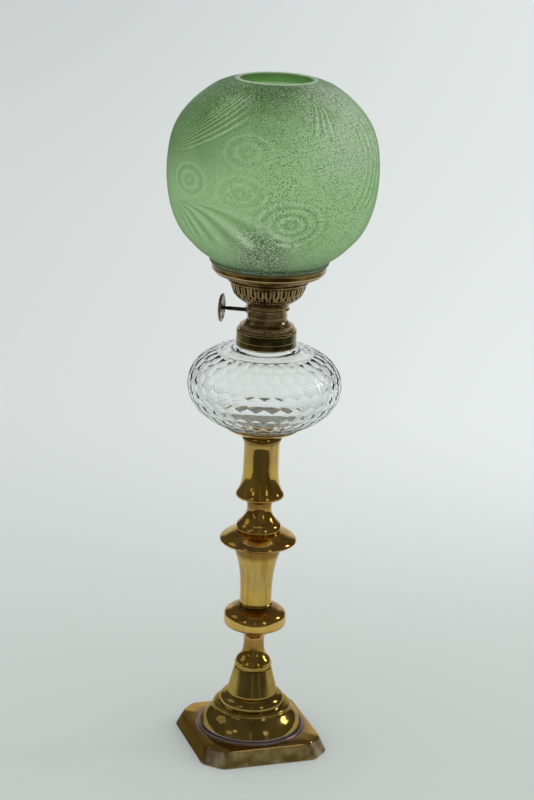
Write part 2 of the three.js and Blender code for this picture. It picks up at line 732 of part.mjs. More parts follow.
// Spindle with its wheel outside and two cogs inside the neck
function winderPieces() {
  const outerEnd = wheelReach + wheelThickness + rivetHeight;
  const length = outerEnd + spindleInnerReach;
  const spindle = cylinder(spindleRadius, length, smallFacets).rotateY(Math.PI / 2)
    .translate(outerEnd - length / 2, cogOffset, spindleHeight);
  add('winder_spindle', spindle, darkBrass, winder);
  for (const side of [-1, 1]) {
    const name = side < 0 ? 'wick_cog_inner' : 'wick_cog_outer';
    const cog = cogGeometry().translate(side * cogSpacing / 2, cogOffset, spindleHeight);
    add(name, cog, darkBrass, winder);
  }
  const boreRadius = spindleRadius + fitGap;
  const webLow = (wheelThickness - wheelWeb) / 2;
  const webHigh = webLow + wheelWeb;
  const rimInside = wheelRadius - wheelRimWidth;
  const edge = wheelThickness * wheelEdgeShare;
  const wheel = turned([
    at(boreRadius, 0),
    at(wheelHubRadius, 0),
    at(wheelHubRadius + edge, webLow),
    at(rimInside - edge, webLow),
    at(rimInside, 0),
    at(wheelRadius - edge, 0),
    at(wheelRadius, edge),
    at(wheelRadius, wheelThickness - edge),
    at(wheelRadius - edge, wheelThickness),
    at(rimInside, wheelThickness),
    at(rimInside - edge, webHigh),
    at(wheelHubRadius + edge, webHigh),
    at(wheelHubRadius, wheelThickness),
    at(boreRadius, wheelThickness),
  ], turnedFacets).rotateY(Math.PI / 2).translate(wheelReach, cogOffset, spindleHeight);
  add('winder_wheel', wheel, darkBrass, winder);
  const bushStart = burnerNeckRadius - overrun;
  const bushEnd = Math.sqrt((burnerNeckRadius + fitGap) ** 2 - cogOffset ** 2) + bushLength;
  const bush = turned([
    at(boreRadius, bushStart),
    at(bushRadius, bushStart),
    at(bushRadius, bushEnd),
    at(boreRadius, bushEnd),
  ], smallFacets).rotateY(Math.PI / 2).translate(0, cogOffset, spindleHeight);
  const saddle = cylinder(burnerNeckRadius + fitGap, burnerNeckTop, wideFacets)
    .translate(0, 0, spindleHeight);
  add('winder_bush', geometryOf(solid(bush).subtract(solid(saddle))), brass, winder);
}

function basketLine() {
  return shaped(basketShares, basketRadius, basketHeight, basketBase, basketFootRadius);
}

// Spun basket, pierced with upright slots and a staggered row of round holes below them
function galleryBasket() {
  const line = basketLine();
  const innerFoot = burnerNeckRadius - burnerWall - overrun;
  const inner = inset(line, basketWall).slice(1, -1);
  const bowl = turned([
    at(innerFoot, basketBase),
    ...line,
    at(basketRadius - basketWall, basketTop),
    ...inner.reverse(),
    at(basketFootRadius, basketBase + basketWall),
    at(innerFoot, basketBase + basketWall),
  ], slotCount);
  let basket = solid(bowl);
  const slotHeight = basketHeight * (slotTopShare - slotBottomShare);
  const slotMiddle = basketBase + basketHeight * (slotBottomShare + slotTopShare) / 2;
  const holeHeight = basketBase + basketHeight * holeHeightShare;
  const step = 2 * Math.PI / slotCount;
  const depth = basketRadius / 2;
  const cutters = [];
  for (let i = 0; i < slotCount; i += 1) {
    const slot = block(depth, slotWidth, slotHeight).translate(basketRadius, 0, slotMiddle);
    cutters.push(solid(slot.rotateZ(i * step)));
    const hole = cylinder(holeRadius, depth, holeSides).rotateZ(Math.PI / 2).rotateY(Math.PI / 2)
      .translate(basketRadius - depth / 4, 0, holeHeight);
    cutters.push(solid(hole.rotateZ((i + 1 / 2) * step)));
  }
  basket = basket.subtract(wasm.Manifold.union(cutters));
  add('gallery_basket', geometryOf(basket), darkBrass);
  const innerRadius = basketRadius - 1.5 * basketWall;
  add('basket_rim', turned([
    at(innerRadius, basketTop),
    ...shaped(rimShares, rimRadius, rimHeight, basketTop),
    at(innerRadius, rimTop),
  ], wideFacets), darkBrass);
}

// Air plate that fills the basket, and the dome with a slot for the flame on top of it
function flameParts() {
  const plateRadius = crossing(inset(basketLine(), basketWall + fitGap), 'y', plateBase, 'x');
  const plate = solid(turned([at(0, plateBase), at(plateRadius, plateBase),
    at(plateRadius, plateBase + plateHeight), at(0, plateBase + plateHeight)], turnedFacets));
  const slot = block(tubeOutside[0] + 2 * fitGap, tubeOutside[1] + 2 * fitGap, 2 * overrun)
    .translate(0, 0, plateBase);
  add('air_plate', geometryOf(plate.subtract(solid(slot))), darkBrass, winder);
  const base = plateBase + plateHeight + seatGap;
  const outer = shaped(flameDomeShares, domeBaseRadius, flameDomeHeight, base);
  const inner = shaped(flameDomeShares, domeBaseRadius - flameDomeWall,
    flameDomeHeight - flameDomeWall, base);
  const dome = turned([...inner.reverse(), ...outer], turnedFacets);
  const flameSlot = block(flameSlotLength, flameSlotWidth, flameDomeHeight)
    .translate(0, 0, base + flameDomeHeight);
  add('flame_dome', geometryOf(solid(dome).subtract(solid(flameSlot))), darkBrass, winder);
}

// Band inside the basket with leaf prongs that would grip a chimney
function chimneyHolder() {
  const base = plateBase + plateHeight + seatGap;
  let holder = solid(turned([
    at(holderRadius - holderWall, base),
    at(holderRadius, base),
    at(holderRadius, base + holderBand),
    at(holderRadius - holderWall, base + holderBand),
  ], turnedFacets));
  const back = smooth(shaped(prongShares, holderRadius + prongBulge, prongHeight, base,
    holderRadius), 5);
  const leaf = new THREE.Shape(shell(back, holderWall));
  for (let i = 0; i < prongCount; i += 1) {
    const prong = new THREE.ExtrudeGeometry(leaf, { depth: prongWidth, bevelEnabled: false })
      .translate(0, 0, -prongWidth / 2).rotateX(Math.PI / 2).rotateZ((i + 0.5) * 2 * Math.PI / prongCount);
    holder = holder.add(solid(prong));
  }
  add('chimney_holder', geometryOf(holder), darkBrass);
}

function ringLine() {
  return [at(ringHoleRadius, rimTop), ...shaped(ringShares, ringRadius, ringHeight, rimTop)];
}

function shadeRing() {
  add('shade_ring', turned(shell(ringLine(), ringWall), wideFacets), darkBrass);
}

// The shade stands on the slope of the ring, with its bead just over the ring's lip
function shadeGlass() {
  const fitterRadius = ringRadius - ringWall - fitterPlay;
  const beadOuter = ringRadius + shadeBeadOverhang;
  const footRadius = fitterRadius * fitterShares[0][0];
  const shadeBase = crossing(inset(ringLine(), ringWall + fitGap), 'x', footRadius, 'y');
  const lipTop = rimTop + ringHeight;
  const beadBase = lipTop + shadeBeadRise;
  const beadTop = beadBase + shadeBeadHeight;
  const globeHeight = shadeBase + shadeHeight - beadTop;
  const fitter = [
    ...shaped(fitterShares, fitterRadius, lipTop - shadeBase, shadeBase),
    at(fitterRadius, lipTop + fitGap),
    ...shaped(shadeBeadShares, beadOuter, shadeBeadHeight, beadBase),
  ];
  const globe = smooth([
    ...shaped(lowerGlobeShares, shadeRadius, globeHeight, beadTop, beadOuter),
    ...shaped(upperGlobeShares, shadeRadius, globeHeight, beadTop, shadeMouthRadius),
  ], globeSteps);
  const inner = inset([fitter.at(-1), ...globe], shadeWall).slice(1);
  const top = globe.at(-1).y;
  add('shade_glass', turned([
    at(fitter[0].x - shadeWall, shadeBase),
    ...fitter,
    ...globe,
    at(shadeMouthRadius, top - shadeMouthEdge),
    ...inner.slice(0, -1).reverse(),
    at(fitter[1].x - shadeWall, fitter.at(-1).y),
  ], wideFacets), greenGlass);
}

candlestickBase();
const screwBottom = footFixings();
candlestickStem(screwBottom);
candleNozzle();
lampPeg();
pegDish();
fontGlass();
collar();
sealingWasher();
burnerBody();
wickTube();
winderPieces();
galleryBasket();
flameParts();
chimneyHolder();
shadeRing();
shadeGlass();

export default lamp;
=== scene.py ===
# %% [markdown]
# # Dressing a peg lamp
# A peg lamp is a small oil lamp whose brass peg stands in the nozzle of a candlestick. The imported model
# gives every piece its place, so this lesson starts by loading it and then builds a finer skin for each
# piece that can be seen: turned brass, pressed glass and a frosted ball shade.

# %% The frame and its sizes
import json
import math
import bmesh
import bpy
import numpy as np
from mathutils import Matrix, Vector


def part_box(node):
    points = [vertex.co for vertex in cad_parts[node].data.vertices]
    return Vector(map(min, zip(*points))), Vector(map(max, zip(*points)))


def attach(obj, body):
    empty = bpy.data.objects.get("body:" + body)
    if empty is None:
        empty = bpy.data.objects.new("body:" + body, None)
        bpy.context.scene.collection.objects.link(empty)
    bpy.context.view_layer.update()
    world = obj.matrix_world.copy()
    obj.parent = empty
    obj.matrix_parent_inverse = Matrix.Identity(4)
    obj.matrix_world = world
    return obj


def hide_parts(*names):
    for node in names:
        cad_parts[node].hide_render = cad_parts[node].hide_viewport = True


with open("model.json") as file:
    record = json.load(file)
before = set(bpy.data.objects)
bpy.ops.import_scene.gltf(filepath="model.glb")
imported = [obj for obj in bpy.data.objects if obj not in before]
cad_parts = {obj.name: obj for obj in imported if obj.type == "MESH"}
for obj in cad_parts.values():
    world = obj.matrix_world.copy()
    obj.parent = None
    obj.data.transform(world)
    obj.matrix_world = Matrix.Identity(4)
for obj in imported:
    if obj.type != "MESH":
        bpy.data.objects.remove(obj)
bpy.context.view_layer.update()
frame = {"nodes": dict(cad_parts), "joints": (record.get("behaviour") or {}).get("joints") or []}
mm = 0.001


def top_of(node):
    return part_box(node)[1].z / mm


def bottom_of(node):
    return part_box(node)[0].z / mm


# %% [markdown]
# ## Camera
# The lamp was photographed from above with a long lens, about 1.6 m away, which keeps the foot and the shade
# nearly the same scale. The three angles turn a level camera: down to the lamp, a hair to the right, and a
# small roll, because the lamp leans in its frame.

# %% Camera
foot_turn = math.radians(-18.3)
camera_place = Matrix.Rotation(foot_turn, 3, "Z") @ Vector((-0.0082, -1.6, 0.774))
look_down, look_right, roll = (math.radians(a) for a in (17.2388, 0.38156, 2.3764))
lens_mm, film_mm = 100.57, 36
scene = bpy.context.scene
camera = bpy.data.objects.new("camera", bpy.data.cameras.new("camera"))
camera.data.lens = lens_mm
camera.data.sensor_width = film_mm
camera.matrix_world = (Matrix.Translation(camera_place) @ Matrix.Rotation(foot_turn - look_right, 4, "Z")
                       @ Matrix.Rotation(math.pi / 2 - look_down, 4, "X") @ Matrix.Rotation(roll, 4, "Z"))
scene.collection.objects.link(camera)
scene.camera = camera
scene.view_settings.view_transform = "Standard"
print("camera at, m:", [round(c, 3) for c in camera_place])

# %% [markdown]
# ## Shader maths in Python
# A material is a network of nodes. Writing sums as Python keeps it readable: a `Wire` is the output of a
# node, and `wire * 2 + 1` adds the Math nodes. A `Finish` holds one material and adds any other node.


# %% Wires
class Wire:
    """The output socket of a node; sums on it add Math nodes to the same material."""

    def __init__(self, finish, socket):
        self.finish = finish
        self.socket = socket

    def maths(self, operation, *values, clamp=False):
        """A Math node on the values, or on this wire alone."""
        inputs = dict(enumerate(values or (self,)))
        return self.finish.add("ShaderNodeMath", inputs, operation=operation, use_clamp=clamp)

    def __add__(self, other):
        return self.maths("ADD", self, other)

    def __sub__(self, other):
        return self.maths("SUBTRACT", self, other)

    def __rsub__(self, other):
        return self.maths("SUBTRACT", other, self)

    def __mul__(self, other):
        return self.maths("MULTIPLY", self, other)

    def __truediv__(self, other):
        return self.maths("DIVIDE", self, other)

    def __abs__(self):
        return self.maths("ABSOLUTE")

    __radd__ = __add__
    __rmul__ = __mul__

    def clamped(self):
        return self.maths("ADD", self, 0, clamp=True)


def rgba(colour):
    return colour if isinstance(colour, Wire) else (*colour, 1.0)


# %% Finishes
class Finish:
    """One material, or the world, with a method that adds any node to it."""

    def __init__(self, name, owner=None):
        self.owner = owner or bpy.data.materials.new(name)
        self.owner.use_nodes = True
        self.tree = self.owner.node_tree
        self.tree.nodes.clear()

    def add(self, kind, values=None, output=0, **settings):
        """A node with its settings and its inputs, each a value or a wire."""
        node = self.tree.nodes.new(kind)
        for key, setting in settings.items():
            setattr(node, key, setting)
        for key, value in (values or {}).items():
            if isinstance(value, Wire):
                self.tree.links.new(value.socket, node.inputs[key])
            else:
                node.inputs[key].default_value = value
        return Wire(self, node.outputs[output])

    def surface(self, shader, target="ShaderNodeOutputMaterial"):
        node = self.tree.nodes.new(target)
        self.tree.links.new(shader.socket, node.inputs["Surface"])
        return self.owner

    def place(self, output="Object"):
        return self.add("ShaderNodeTexCoord", output=output)

    def ray(self, kind):
        """What the Light Path node says of the ray that looks."""
        return self.add("ShaderNodeLightPath", output=kind)

    def axis(self, vector, index):
        return self.add("ShaderNodeSeparateXYZ", {"Vector": vector}, index)

    def along(self, vector, direction):
        """How far a place or a direction reaches along another direction."""
        values = {0: vector, 1: tuple(direction)}
        return self.add("ShaderNodeVectorMath", values, 1, operation="DOT_PRODUCT")

    def noise(self, scale, detail=2.0, vector=None, stretch=None):
        """Soft noise; a stretch below 1 draws it out along that axis."""
        vector = vector or self.place()
        if stretch:
            vector = self.add("ShaderNodeVectorMath", {0: vector, 1: stretch}, operation="MULTIPLY")
        return self.add("ShaderNodeTexNoise", {"Vector": vector, "Scale": scale, "Detail": detail})

    def step(self, value, low, high):
        """0 at low, 1 at high and smooth between them; low may be the larger one."""
        values = {"Value": value, "From Min": low, "From Max": high}
        return self.add("ShaderNodeMapRange", values, interpolation_type="SMOOTHSTEP")

    def near(self, value, middle, reach):
        """1 at a middle value, 0 farther from it than a reach."""
        return self.step(abs(value - middle), reach, reach * 0.3)

    def dots(self, scale, size, vector):
        """Round dots of a size from 0 to 0.5, one in each cell, with soft edges."""
        cells = self.add("ShaderNodeTexVoronoi", {"Vector": vector, "Scale": scale})
        return self.step(cells, size, size * 0.6)

    def mix(self, share, first, second):
        """Share 0 gives the first colour, 1 the second."""
        values = {0: share, 6: rgba(first), 7: rgba(second)}
        return self.add("ShaderNodeMix", values, 2, data_type="RGBA")

    def layered(self, colour, *layers):
        """A colour with others laid over it in turn; each layer is its share and its colour."""
        for share, over in layers:
            colour = self.mix(share, colour, over)
        return colour

    def bump(self, height, strength, depth):
        return self.add("ShaderNodeBump", {"Height": height, "Strength": strength, "Distance": depth})

    def principled(self, **values):
        named = {key.replace("_", " ").title().replace("Ior", "IOR"): value for key, value in values.items()}
        return self.add("ShaderNodeBsdfPrincipled", named)


# %% Directions of the studio
front, side = (Matrix.Rotation(foot_turn, 3, "Z") @ Vector(v) for v in ((0, -1, 0), (1, 0, 0)))
print("towards the camera:", [round(c, 3) for c in front])

# %% [markdown]
# ## Old polished brass
# Brass that has been polished for a hundred years is warm yellow where the cloth reaches and browner in the
# hollows, which painted shade darkens as well; below the upper knop it also stands for the knop's painted
# reflection. Thin oxide films show as orange and violet bands; here they follow the height, broken up by a
# soft noise. The cloth leaves upright wipes, which are a noise drawn out along the piece. A pinkish blush
# shows most on the right of the upper knop, and a painted reflection of the table makes the drum of the
# lower knop the brightest. Each mark is one layer of colour, with a share that says where it lies.

# %% Brass of the candlestick
stem_foot = top_of("candlestick_base")
nozzle_foot = bottom_of("candle_nozzle")
# Height of the painted reflection of the table on the drum of the lower knop.
drum_gleam_height = stem_foot + 39
upper_knop = stem_foot + 103
# Each hollow: its middle, its reach and how much grime and painted shade darken it.
hollows = ((stem_foot + 97, 9, 1), (stem_foot + 134, 6, 1), (stem_foot + 50, 3, 1), (stem_foot + 17, 8, 0.7),
           (nozzle_foot + 46, 3, 1))


def candlestick_brass():
    f = Finish("candlestick_brass")
    spot = f.place()
    height = f.axis(spot, 2) / mm
    clouds = f.noise(38, 4, spot)
    fine = f.noise(420, 3, spot)
    film = (height * 0.062 + f.noise(14, 2, spot) * 4.5).maths("SINE")
    streaks = f.noise(90, 3, spot, (1, 1, 0.12))
    wipes = f.noise(230, 2, spot, (1, 1, 0.06))
    blush = f.noise(55, 3, spot) + f.step(film, 0.2, 0.9) * 0.1
    right_hand = f.step(f.along(spot, side) / mm, 2, 20)
    ruddy = f.near(height, upper_knop, 7) * (0.25 + 0.75 * right_hand) * f.step(clouds, 0.36, 0.56)
    # Hollows darken with grime and painted shade; below the upper knop this also paints the knop's reflection.
    grime_and_shade = sum(f.near(height, middle, reach) * share for middle, reach, share in hollows).clamped()
    specks = f.step(fine, 0.70, 0.78) * 0.35
    colour = f.layered(
        (0.52, 0.32, 0.055),
        (f.step(clouds, 0.35, 0.68), (0.70, 0.47, 0.10)),
        (f.step(film, 0.35, 0.95) * 0.45, (0.60, 0.30, 0.09)),
        (f.step(film, -0.45, -0.98) * 0.3, (0.42, 0.30, 0.20)),
        (f.step(streaks, 0.50, 0.72) * 0.55, (0.36, 0.21, 0.055)),
        (f.step(wipes, 0.50, 0.72) * 0.55, (0.38, 0.18, 0.04)),
        (f.step(wipes, 0.48, 0.32) * 0.45, (0.82, 0.52, 0.13)),
        (f.step(blush, 0.60, 0.76) * 0.4, (0.56, 0.28, 0.17)),
        (ruddy * 0.65, (0.66, 0.27, 0.15)),
        # painted reflection: the drum of the lower knop made brighter
        (f.near(height, drum_gleam_height, 5) * 0.6, (0.86, 0.56, 0.15)),
        # grime and painted shade in the hollows
        (grime_and_shade * (0.45 + 0.5 * clouds), (0.20, 0.10, 0.025)),
        (specks, (0.22, 0.14, 0.06)))
    rough = 0.07 + f.step(clouds, 0.4, 0.75) * 0.09 + specks * 0.25 + grime_and_shade * 0.12
    lathe_lines = f.noise(900, 1, spot, (0.15, 0.15, 1.6))
    normal = f.bump(lathe_lines * 0.35 + fine * 0.65, 0.10, 0.00006)
    return f.surface(f.principled(base_color=colour, metallic=1.0, roughness=rough, normal=normal))


brass = candlestick_brass()
print("hollows with grime, at mm:", [round(hollow[0], 1) for hollow in hollows])

# %% [markdown]
# Round the foot's bead, where polish never dries off, lies a rainbow of tarnish: orange on the flat, then
# violet, then grey-blue at the bead. It is a function of the distance from the axis, worked out from x and y.
# The plinth's sloping sides are stained: brown all round, pale and blotchy in front and pinkish on the canted
# corners, with a painted highlight along their upper edge.

# %% Brass of the foot
plinth_top = 12.0
plinth_half = 45
cant_reach, cant_slope = 61.3, 0.46
bead_rim = 41.5


def foot_brass():
    f = Finish("foot_brass")
    spot = f.place()
    x, y, height = (f.axis(spot, i) / mm for i in range(3))
    clouds = f.noise(40, 4, spot)
    fine = f.noise(380, 3, spot)
    patches = f.noise(75, 3, spot)
    blotches = f.noise(150, 4, spot)
    flat = f.step(height, plinth_top, plinth_top + 0.3) * f.step(height, plinth_top + 3.6, plinth_top + 2.6)
    reach = (x * x + y * y).maths("SQRT") + (patches - 0.5) * 5
    pale_ring = flat * f.step(reach, bead_rim + 2.1, bead_rim + 0.5)
    sides = f.step(height, plinth_top - 0.1, plinth_top - 1.1)
    handled = sides * f.step(y, 4 - plinth_half, 1 - plinth_half) * (0.6 + 0.4 * f.step(patches, 0.35, 0.60))
    handled_brass = f.mix(f.step(blotches, 0.35, 0.70), (0.33, 0.245, 0.08), (0.46, 0.37, 0.17))
    corner = (abs(x) + abs(y)) * math.sqrt(0.5) + height * cant_slope
    canted = sides * f.step(corner, cant_reach - 0.6, cant_reach) * (0.2 + 0.5 * f.step(blotches, 0.36, 0.6))
    specks = f.step(fine, 0.68, 0.76) * 0.4
    colour = f.layered(
        (0.33, 0.22, 0.06),
        (f.step(clouds, 0.35, 0.68), (0.50, 0.35, 0.10)),
        (flat * f.step(reach, bead_rim + 16.5, bead_rim + 4.5) * 0.85, (0.64, 0.29, 0.085)),
        (flat * f.step(reach, bead_rim + 6.5, bead_rim + 2.9) * 0.6, (0.36, 0.20, 0.30)),
        (pale_ring * 0.55, (0.36, 0.42, 0.46)),
        (sides, (0.125, 0.062, 0.010)),
        (handled, handled_brass),
        (canted, (0.60, 0.48, 0.35)),
        # painted highlight along the upper edge of the plinth's sides
        (f.near(height, plinth_top + 0.1, 0.7) * 0.6, (0.52, 0.36, 0.12)),
        (specks, (0.20, 0.13, 0.06)))
    rough = 0.07 + f.step(patches, 0.4, 0.7) * 0.09 + specks * 0.2 + pale_ring * 0.22 + sides * 0.22
    normal = f.bump(fine * 0.5 + clouds * 0.5, 0.18, 0.0001)
    return f.surface(f.principled(base_color=colour, metallic=1.0, roughness=rough, normal=normal,
                                  specular_tint=(0.84, 0.74, 0.55, 1)))


foot_finish = foot_brass()
print("plinth, mm: half width", plinth_half, "height", plinth_top)

# %% [markdown]
# ## Brass of the burner
# The burner is thin spun brass that has hardly been polished since it was lacquered: almost black-brown,
# with a grain that runs round it and a painted warm gleam on its edges. Such a painted highlight is a line at
# one height, and the bars between the basket's slots follow the turn round the axis, so both can be told from
# the place.


# %% Brass of the burner
def burner_brass(name, dark, light, roughness, edges=(), ribs=0):
    """Spun brass; edges are the heights of painted highlight lines, ribs the number of bars round the axis."""
    f = Finish(name)
    spot = f.place()
    clouds = f.noise(120, 4, spot)
    fine = f.noise(900, 2, spot)
    specks = f.step(fine, 0.66, 0.75) * 0.5
    colour = f.layered(dark, (f.step(clouds, 0.38, 0.66), light), (specks, (0.10, 0.065, 0.03)))
    if edges:
        height = f.axis(spot, 2) / mm
        # painted highlight lines at the edge heights
        edge_highlight = sum(f.near(height, edge, 0.45) for edge in edges).clamped()
        colour = f.mix(edge_highlight * 0.9, colour, (0.84, 0.61, 0.31))
        specks = specks + edge_highlight * 0.7
    if ribs:
        rib = (spot.maths("ARCTAN2", f.axis(spot, 1), f.axis(spot, 0)) * ribs).maths("COSINE")
        colour = f.layered(colour, (f.step(rib, -0.55, -0.95) * 0.7, (0.07, 0.045, 0.018)),
                           (f.near(rib, -0.25, 0.45) * 0.45, (0.62, 0.46, 0.22)))
    spinning = f.noise(1600, 1, spot, (0.1, 0.1, 1.5))
    return f.surface(f.principled(base_color=colour, metallic=1.0, roughness=roughness + clouds * 0.12 + specks * 0.2,
                                  normal=f.bump(spinning * 0.7 + fine * 0.3, 0.22, 0.00008)))


slot_count = 30
dark_brass = burner_brass("burner_brass", (0.19, 0.11, 0.04), (0.38, 0.26, 0.10), 0.12)
# The bright lines at these heights of the ring are painted highlights.
ring_brass = burner_brass("ring_brass", (0.13, 0.075, 0.022), (0.27, 0.17, 0.05), 0.12,
                          (top_of("shade_ring") - 0.3, bottom_of("shade_ring") + 4.7))
collar_foot = bottom_of("collar")
# The bright lines at these heights of the collar are painted highlights.
collar_brass = burner_brass("collar_brass", (0.085, 0.068, 0.026), (0.21, 0.17, 0.065), 0.12,
                            [collar_foot + z for z in (0.2, 4.5, 10.8, 12.6)])
basket_brass = burner_brass("basket_brass", (0.14, 0.085, 0.035), (0.33, 0.22, 0.085), 0.16, ribs=slot_count)
spindle_brass = burner_brass("spindle_brass", (0.05, 0.04, 0.022), (0.13, 0.10, 0.05), 0.2)
wheel_brass = burner_brass("wheel_brass", (0.30, 0.24, 0.17), (0.47, 0.40, 0.30), 0.24)
print("finishes so far:", [m.name for m in bpy.data.materials])

# %% [markdown]
# ## Turned pieces
# Most of the lamp was shaped on a lathe: a profile turned about an axis. Each profile below is a list of
# (radius, height) points in millimetres. The line is rounded through them, and a point with `sharp` after
# it stays a crisp corner, as a turning tool leaves.

# %% Profiles and the lathe
sharp = True
round_steps = 144
upright = Matrix()


def rounded(points, steps=6):
    """A smooth line through the points that keeps the corners marked sharp."""
    spots = [np.array(point[:2], float) for point in points]
    crisp = [True] + [len(point) > 2 for point in points[1:-1]] + [True]
    line = []
    for i in range(len(points) - 1):
        a, b = spots[i:i + 2]
        before = a if crisp[i] else spots[i - 1]
        after = b if crisp[i + 1] else spots[i + 2]
        span = np.linalg.norm(b - a)
        lean_a, lean_b = (v / max(np.linalg.norm(v), 1e-9) * span for v in (b - before, after - a))
        count = 1 if crisp[i] and crisp[i + 1] else steps
        for t in np.arange(count) / count:
            h = 2 * t ** 3 - 3 * t ** 2 + 1
            line.append(h * a + (t ** 3 - 2 * t ** 2 + t) * lean_a + (1 - h) * b + (t ** 3 - t ** 2) * lean_b)
    return line + spots[-1:]


def new_piece(name, places, faces, finish, body, node, slot, sharp_angle=32, weld=False):
    """A smooth-shaded mesh object that rides on a body and stands for a node of the model."""
    mesh = bpy.data.meshes.new(name)
    mesh.from_pydata(places, [], faces)
    mesh.validate()
    if weld:
        shape = bmesh.new()
        shape.from_mesh(mesh)
        bmesh.ops.remove_doubles(shape, verts=shape.verts, dist=0.01 * mm)
        shape.to_mesh(mesh)
        shape.free()
    mesh.shade_smooth()
    mesh.set_sharp_from_angle(angle=math.radians(sharp_angle))
    mesh.materials.append(finish)
    piece = bpy.data.objects.new(name, mesh)
    scene.collection.objects.link(piece)
    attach(piece, body)
    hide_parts(node)
    return piece


def polar(radius, turn, height):
    """A place in metres, from millimetres and an angle."""
    return radius * math.cos(turn) * mm, radius * math.sin(turn) * mm, height * mm


def joined(rings):
    """Faces from each ring of corners to the next; corners that are one at a pole count once."""
    faces = []
    for low, high in zip(rings, rings[1:]):
        for k in range(len(low)):
            n = (k + 1) % len(low)
            corners = [low[k], low[n], high[n], high[k]]
            faces.append([c for i, c in enumerate(corners) if c not in corners[:i]])
    return faces


def spun(line, steps=round_steps):
    """Places and faces of a line of (radius, height) turned about Z. Points on the axis become poles, and a
    line that ends where it starts closes on itself."""
    places, rings = [], []
    closed = tuple(line[0]) == tuple(line[-1])
    for radius, height in line[:-1] if closed else line:
        if radius < 1e-6:
            rings.append([len(places)] * steps)
            places.append((0, 0, height * mm))
            continue
        rings.append([len(places) + k for k in range(steps)])
        places += [polar(radius, 2 * math.pi * k / steps, height) for k in range(steps)]
    return places, joined(rings + rings[:closed])


def outline(points):
    """The rounded line; one that starts off the axis ends where it starts."""
    line = rounded(points)
    return line + line[:1] if points[0][0] > 0 else line


def turned(name, points, finish, body, node, slot, lay=upright, steps=round_steps):
    places, faces = spun(outline(points), steps)
    new_piece(name, [lay @ Vector(p) for p in places], faces, finish, body, node, slot)
    print(f"{name}: {len(places)} corners, {max(p[0] for p in points):.1f} mm in radius")


# %% [markdown]
# ## The stem of the candlestick
# From below: a cap, a waisted neck, a drum-edged knop, a fillet, a barrel that widens upwards, a
# sharp-edged knop and a bell. The corners where one member sits on the next are left sharp, because the
# thin bright lines of the photograph come from them.


# %% Stem
def lifted(points, base):
    return [(r, z + base, *rest) for r, z, *rest in points]


spigot = nozzle_foot - stem_foot
stem_profile = lifted([
    (0, -41.3), (3.9, -41.3, sharp), (3.9, -0.2, sharp), (13.7, 0, sharp), (13.7, 0.4, sharp), (14.5, 0.6, sharp),
    (14.5, 1.4, sharp), (14.3, 1.8), (14.0, 3.1), (13.5, 4.2), (12.8, 5.4), (11.8, 6.6), (10.6, 7.9), (9.6, 9.3),
    (8.9, 11.0), (8.3, 13.4), (7.8, 18.8), (8.3, 23.3), (9.9, 26.8), (12.0, 29.2), (13.4, 30.0, sharp),
    (21.4, 33.0), (23.2, 34.0), (24.0, 35.6, sharp), (24.0, 42.2, sharp), (22.9, 44.3), (20.6, 46.4), (17.4, 48.1),
    (14.0, 49.2), (13.0, 49.4, sharp), (12.5, 49.6, sharp), (13.1, 50.7), (12.5, 51.8, sharp), (12.2, 52.2),
    (12.2, 54.8), (12.4, 66.3), (13.3, 76.6), (15.1, 86.3), (17.2, 93.6), (18.5, 98.0), (18.9, 100.0, sharp),
    (24.5, 100.7), (27.9, 101.7), (29.3, 102.9), (29.4, 103.7), (28.5, 105.3), (26.0, 107.5), (22.0, 109.7),
    (17.6, 111.1, sharp), (16.9, 111.4, sharp), (17.4, 112.3), (17.5, 113.5), (16.4, 116.4), (14.2, 118.7),
    (11.7, 121.7), (10.0, 125.2), (9.3, 128.8), (9.6, 133.0), (10.6, 135.8), (11.6, 137.8, sharp),
    (5, spigot, sharp), (5, spigot + 6, sharp), (0, spigot + 6),
], stem_foot)
turned("stem_turning", stem_profile, brass, "candlestick", "candlestick_stem", "brass")

# %% [markdown]
# ## The nozzle
# The nozzle holds a candle, or here the peg. It is a separate turning: a flanged foot, a waist and a
# slightly belled lip with the bore in it.

# %% Nozzle
nozzle_lip = top_of("candle_nozzle") - nozzle_foot
nozzle_profile = lifted([
    (5.3, 0, sharp), (16.8, 0.05, sharp), (17.9, 0.5), (18.4, 1.5), (18.1, 3.0), (16.3, 6.6), (14.8, 11.0),
    (13.9, 16.2), (13.6, 21.0), (13.5, 27.0), (13.4, 40.6), (13.7, 43.4), (14.5, 45.7), (15.1, 46.6, sharp),
    (15.1, nozzle_lip - 1.2, sharp), (14.6, nozzle_lip, sharp), (11.7, nozzle_lip, sharp),
    (11.0, nozzle_lip - 0.7, sharp), (11.0, 7.8, sharp), (5.3, 7.8, sharp),
], nozzle_foot)
turned("nozzle_turning", nozzle_profile, brass, "candlestick", "candle_nozzle", "brass")

# %% [markdown]
# ## The foot
# The foot starts as a square with canted corners and ends as a cone, so it is lofted: a stack of loops
# with as many corners each, square below and round above. The loops run down again inside, because the
# casting is hollow.

# %% Foot
side_steps = 12
corner_round = 3.0


def canted_square(half, cant):
    """A loop round a square with canted corners, each corner eased a little."""
    corners = [Vector((half, cant - half)), Vector((half, half - cant))]
    for _ in range(3):
        corners += [Vector((-corner.y, corner.x)) for corner in corners[-2:]]
    loop = []
    for i, here in enumerate(corners):
        before, after = corners[i - 1], corners[(i + 1) % 8]
        enter = here + (before - here).normalized() * corner_round
        leave = here + (after - here).normalized() * corner_round
        for t in (0, 0.33, 0.67, 1):
            loop.append(enter.lerp(here, t).lerp(here.lerp(leave, t), t))
        stop = after + (here - after).normalized() * corner_round
        loop += [leave.lerp(stop, k / side_steps) for k in range(1, side_steps)]
    return loop


square_angles = [math.atan2(p.y, p.x) for p in canted_square(plinth_half, 10.9)]


def circle(radius):
    return [Vector((radius * math.cos(a), radius * math.sin(a))) for a in square_angles]


